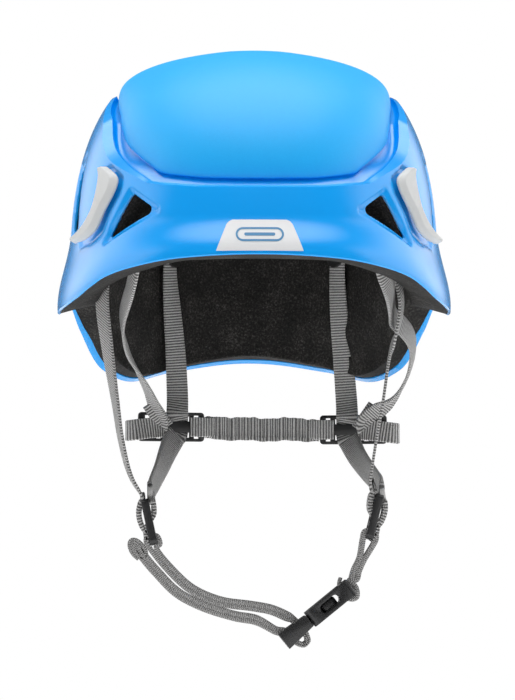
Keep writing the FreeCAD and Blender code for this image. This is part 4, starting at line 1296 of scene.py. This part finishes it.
def strand(points, thick, steps=PATH_STEPS, cuts=()):
    """Ribbons in the plane of the chin straps, their width along Y, through (x, height) points.

    The strand is cut at the station numbers given, and comes back as one ribbon or a list of them."""
    path = smooth_stations(points, steps)
    centres = np.stack([path[:, 0], np.full(len(path), HANG), path[:, 1] - SEAT], -1)
    across = np.tile([0.0, 1.0, 0.0], (len(centres), 1))
    if not np.isscalar(thick):
        thick = np.interp(np.linspace(0, 1, len(centres)), np.linspace(0, 1, len(thick)), thick)
    if not cuts:
        return ribbon(centres, across, thick)
    lengths = run_lengths(centres)
    marks = [0] + [c * steps for c in cuts] + [len(centres) - 1]
    return [ribbon(centres[a:b + 1], across[a:b + 1], thick[a:b + 1], start=lengths[a])
            for a, b in zip(marks, marks[1:])]


def offset_path(points, gaps):
    """Plane points moved sideways, to the left of their direction, by one gap or by a gap at each."""
    rows = np.array(points, float)
    along = unit(np.gradient(rows, axis=0))
    side = np.stack([-along[:, 1], along[:, 0]], -1)
    gaps = np.broadcast_to(np.asarray(gaps, float), len(rows))
    return [tuple(p) for p in rows + side * gaps[:, None]]


def round_bar(offsets, at, side, lean):
    """Points round a slider's lowest bar, as (x, height)."""
    bar = on_slider([(0, 0, SLIDER_LOW_BAR)], at, side, lean)[0]
    return [(bar[0] + x, bar[2] + up) for x, up in offsets]


def chin_straps():
    """The long doubled strap, from the left slider's bar to the plug's, and its free return strand."""
    loop = round_bar(ROUND_BAR_LEFT, SLIDER_LEFT_AT, -1, SLIDER_LEFT_LEAN)
    into_plug = on_buckle(INTO_PLUG)
    upper = offset_path(CHIN_LEFT, STRAND_GAP)[::-1]
    lower = offset_path(CHIN_LEFT, -STRAND_GAP)
    first = offset_path(into_plug, INTO_PLUG_GAPS)[::-1]
    last = offset_path(into_plug, [-gap for gap in INTO_PLUG_GAPS])
    thick = [1.5, 1.6, 2.2] + [STRAND_THICK] * 12 + [2.2, 1.6, 1.5]
    path = first + upper + loop + lower[1:] + last
    before, top, after = strand(path, thick, cuts=(10, 16))
    swivel = paint(strap_mesh("chin_strap_left_top", [top]), "webbing_edge")
    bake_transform(swivel)
    main = paint(strap_mesh("chin_strap_left_loop", [before, after]), "webbing_edge")
    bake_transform(main)
    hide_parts("chin_strap_left")
    ribbons = []
    for sign in (1, -1):
        run = offset_path(CHIN_TAIL, sign * STRAND_GAP)
        end = offset_path(on_buckle(OUT_OF_PLUG), [sign * gap for gap in OUT_OF_PLUG_GAPS])
        ribbons.append(strand(run + end, [STRAND_THICK] * 9 + [1.8, 1.5, 1.5]))
    ribbons.append(rolled_end())
    tail = paint(strap_mesh("chin_strap_tail_strand", ribbons), "webbing_edge")
    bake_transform(tail)
    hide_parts("chin_strap_tail")


def rolled_end():
    """The end of the webbing wound flat on itself and sewn."""
    points = []
    for k in range(ROLL_STEPS + 1):
        share = k / ROLL_STEPS
        a = 2 * math.pi * ROLL_TURNS * share
        points.append(((0.4 + 3.9 * share) * math.cos(a), (3.2 + 4.0 * share) * math.sin(a)))
    c, s = math.cos(ROLL_LEAN), math.sin(ROLL_LEAN)
    placed = [(ROLL_AT[0] + x * c - z * s, ROLL_AT[1] + x * s + z * c) for x, z in points]
    return strand(placed, ROLL_THICK, 3)


def chin_strap_right():
    """The short doubled strap, from the right slider's bar to the socket's."""
    upper_loop = round_bar(ROUND_BAR_RIGHT, SLIDER_RIGHT_AT, 1, SLIDER_RIGHT_LEAN)
    inner = offset_path(CHIN_RIGHT[1:], -STRAND_GAP)
    outer = offset_path(CHIN_RIGHT[1:], STRAND_GAP)
    path = on_buckle(ROUND_SOCKET)[::-1] + outer[::-1] + upper_loop + inner
    thick = [1.6, 1.8, 1.8] + [STRAND_THICK] * 12
    obj = paint(strap_mesh("chin_strap_right_loop", [strand(path, thick)]), "webbing_edge")
    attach(obj, "chin_loop")
    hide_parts("chin_strap_right")


# ---------------------------------------------------------------- hardware and pads

SLIDER_FACES = {
    "side_slider_left": (SLIDER_LEFT_AT, -1, SLIDER_LEFT_LEAN),
    "side_slider_right": (SLIDER_RIGHT_AT, 1, SLIDER_RIGHT_LEAN),
}
SLIDER_SWELL = 0.6


def thicken(obj, at, side, lean):
    """Fills out a slider's moulding either way from its middle plane."""
    outward = Vector((side * math.cos(lean), 0.0, -math.sin(lean)))
    middle = Vector((at[0], at[1], at[2] - SEAT)) * MM
    for vertex in obj.data.vertices:
        vertex.co += outward * ((vertex.co - middle).dot(outward) * SLIDER_SWELL)


def hardware(node, body, width):
    """A hard CAD piece with its edges softened by a bevel of a width."""
    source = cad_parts[node]
    obj = bpy.data.objects.new(node + "_moulded", source.data.copy())
    bpy.context.scene.collection.objects.link(obj)
    work = bmesh.new()
    work.from_mesh(obj.data)
    bmesh.ops.remove_doubles(work, verts=work.verts, dist=1e-6)
    bmesh.ops.dissolve_limit(work, angle_limit=math.radians(1.0), verts=work.verts, edges=work.edges)
    work.to_mesh(obj.data)
    work.free()
    if node in SLIDER_FACES:
        thicken(obj, *SLIDER_FACES[node])
    add_bevel(obj, width, 3, 25)
    shade(obj, 35)
    paint(obj, "buckle_plastic")
    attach(obj, body)
    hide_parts(node)
    return obj


HARDWARE = [
    ("nape_buckle_left", "nape_carriage", 0.5), ("nape_buckle_right", "nape_carriage", 0.5),
    ("side_slider_left", "slider_left", 0.6), ("side_slider_right", "slider_right", 0.6),
    ("buckle_female", "chin_loop", 0.55), ("buckle_male", "buckle_plug", 0.5),
    ("buckle_prong_front", "prong_front", 0.4), ("buckle_prong_rear", "prong_rear", 0.4),
]


def cushion(node, puff):
    """A padded piece: the CAD block remeshed, swelled as cloth, and held within a cap on its movement."""
    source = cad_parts[node]
    obj = bpy.data.objects.new(node + "_cushion", source.data.copy())
    bpy.context.scene.collection.objects.link(obj)
    remesh = obj.modifiers.new("remesh", "REMESH")
    remesh.mode = "VOXEL"
    remesh.voxel_size = 0.0016
    apply_modifiers(obj)
    rest = np.array([v.co[:] for v in obj.data.vertices])
    cloth = obj.modifiers.new("cloth", "CLOTH")
    cloth.settings.use_pressure = True
    cloth.settings.uniform_pressure_force = 4.0
    cloth.settings.effector_weights.gravity = 0.0
    for number in range(1, 21):
        bpy.context.scene.frame_set(number)
    apply_modifiers(obj)
    bpy.context.scene.frame_set(1)
    moved = np.array([v.co[:] for v in obj.data.vertices])
    shift = moved - rest
    reach = np.linalg.norm(shift, axis=1, keepdims=True)
    moved = rest + shift * np.minimum(1.0, puff * MM / np.maximum(reach, 1e-9))
    obj.data.vertices.foreach_set("co", moved.ravel().astype(np.float32))
    smooth = obj.modifiers.new("smooth", "SMOOTH")
    smooth.iterations = 4
    divide = obj.modifiers.new("divide", "SUBSURF")
    divide.levels = 1
    divide.render_levels = 1
    apply_modifiers(obj)
    shade(obj, 80)
    paint(obj, "pad_cloth")
    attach(obj, "helmet")
    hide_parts(node)
    return obj


def finish_nodes():
    """Materials for the CAD pieces that are shown as they are."""
    for name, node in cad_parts.items():
        if name == "hook_patches":
            paint(node, "hook_tape")
        elif "_anchor_" in name:
            paint(node, "anchor_plastic")


make_camera()
make_studio()
shell = lower_shell()
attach(shell, "helmet")
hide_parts("lower_shell")
cap = crown_cap()
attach(cap, "helmet")
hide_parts("crown_cap")
liner = foam_liner()
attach(liner, "helmet")
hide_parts("foam_liner")
front_badge()
for word, side in (("left", -1), ("right", 1)):
    headlamp_clip("headlamp_clip_front_" + word, CLIP_FRONT, side, "clip_front_" + word)
    headlamp_clip("headlamp_clip_rear_" + word, CLIP_REAR, side, "clip_rear_" + word)
side_straps()
size_straps()
nape_band()
chin_straps()
chin_strap_right()
for node, body, width in HARDWARE:
    hardware(node, body, width)
cushion("brow_pad", 1.0)
cushion("crown_pad", 1.0)
finish_nodes()
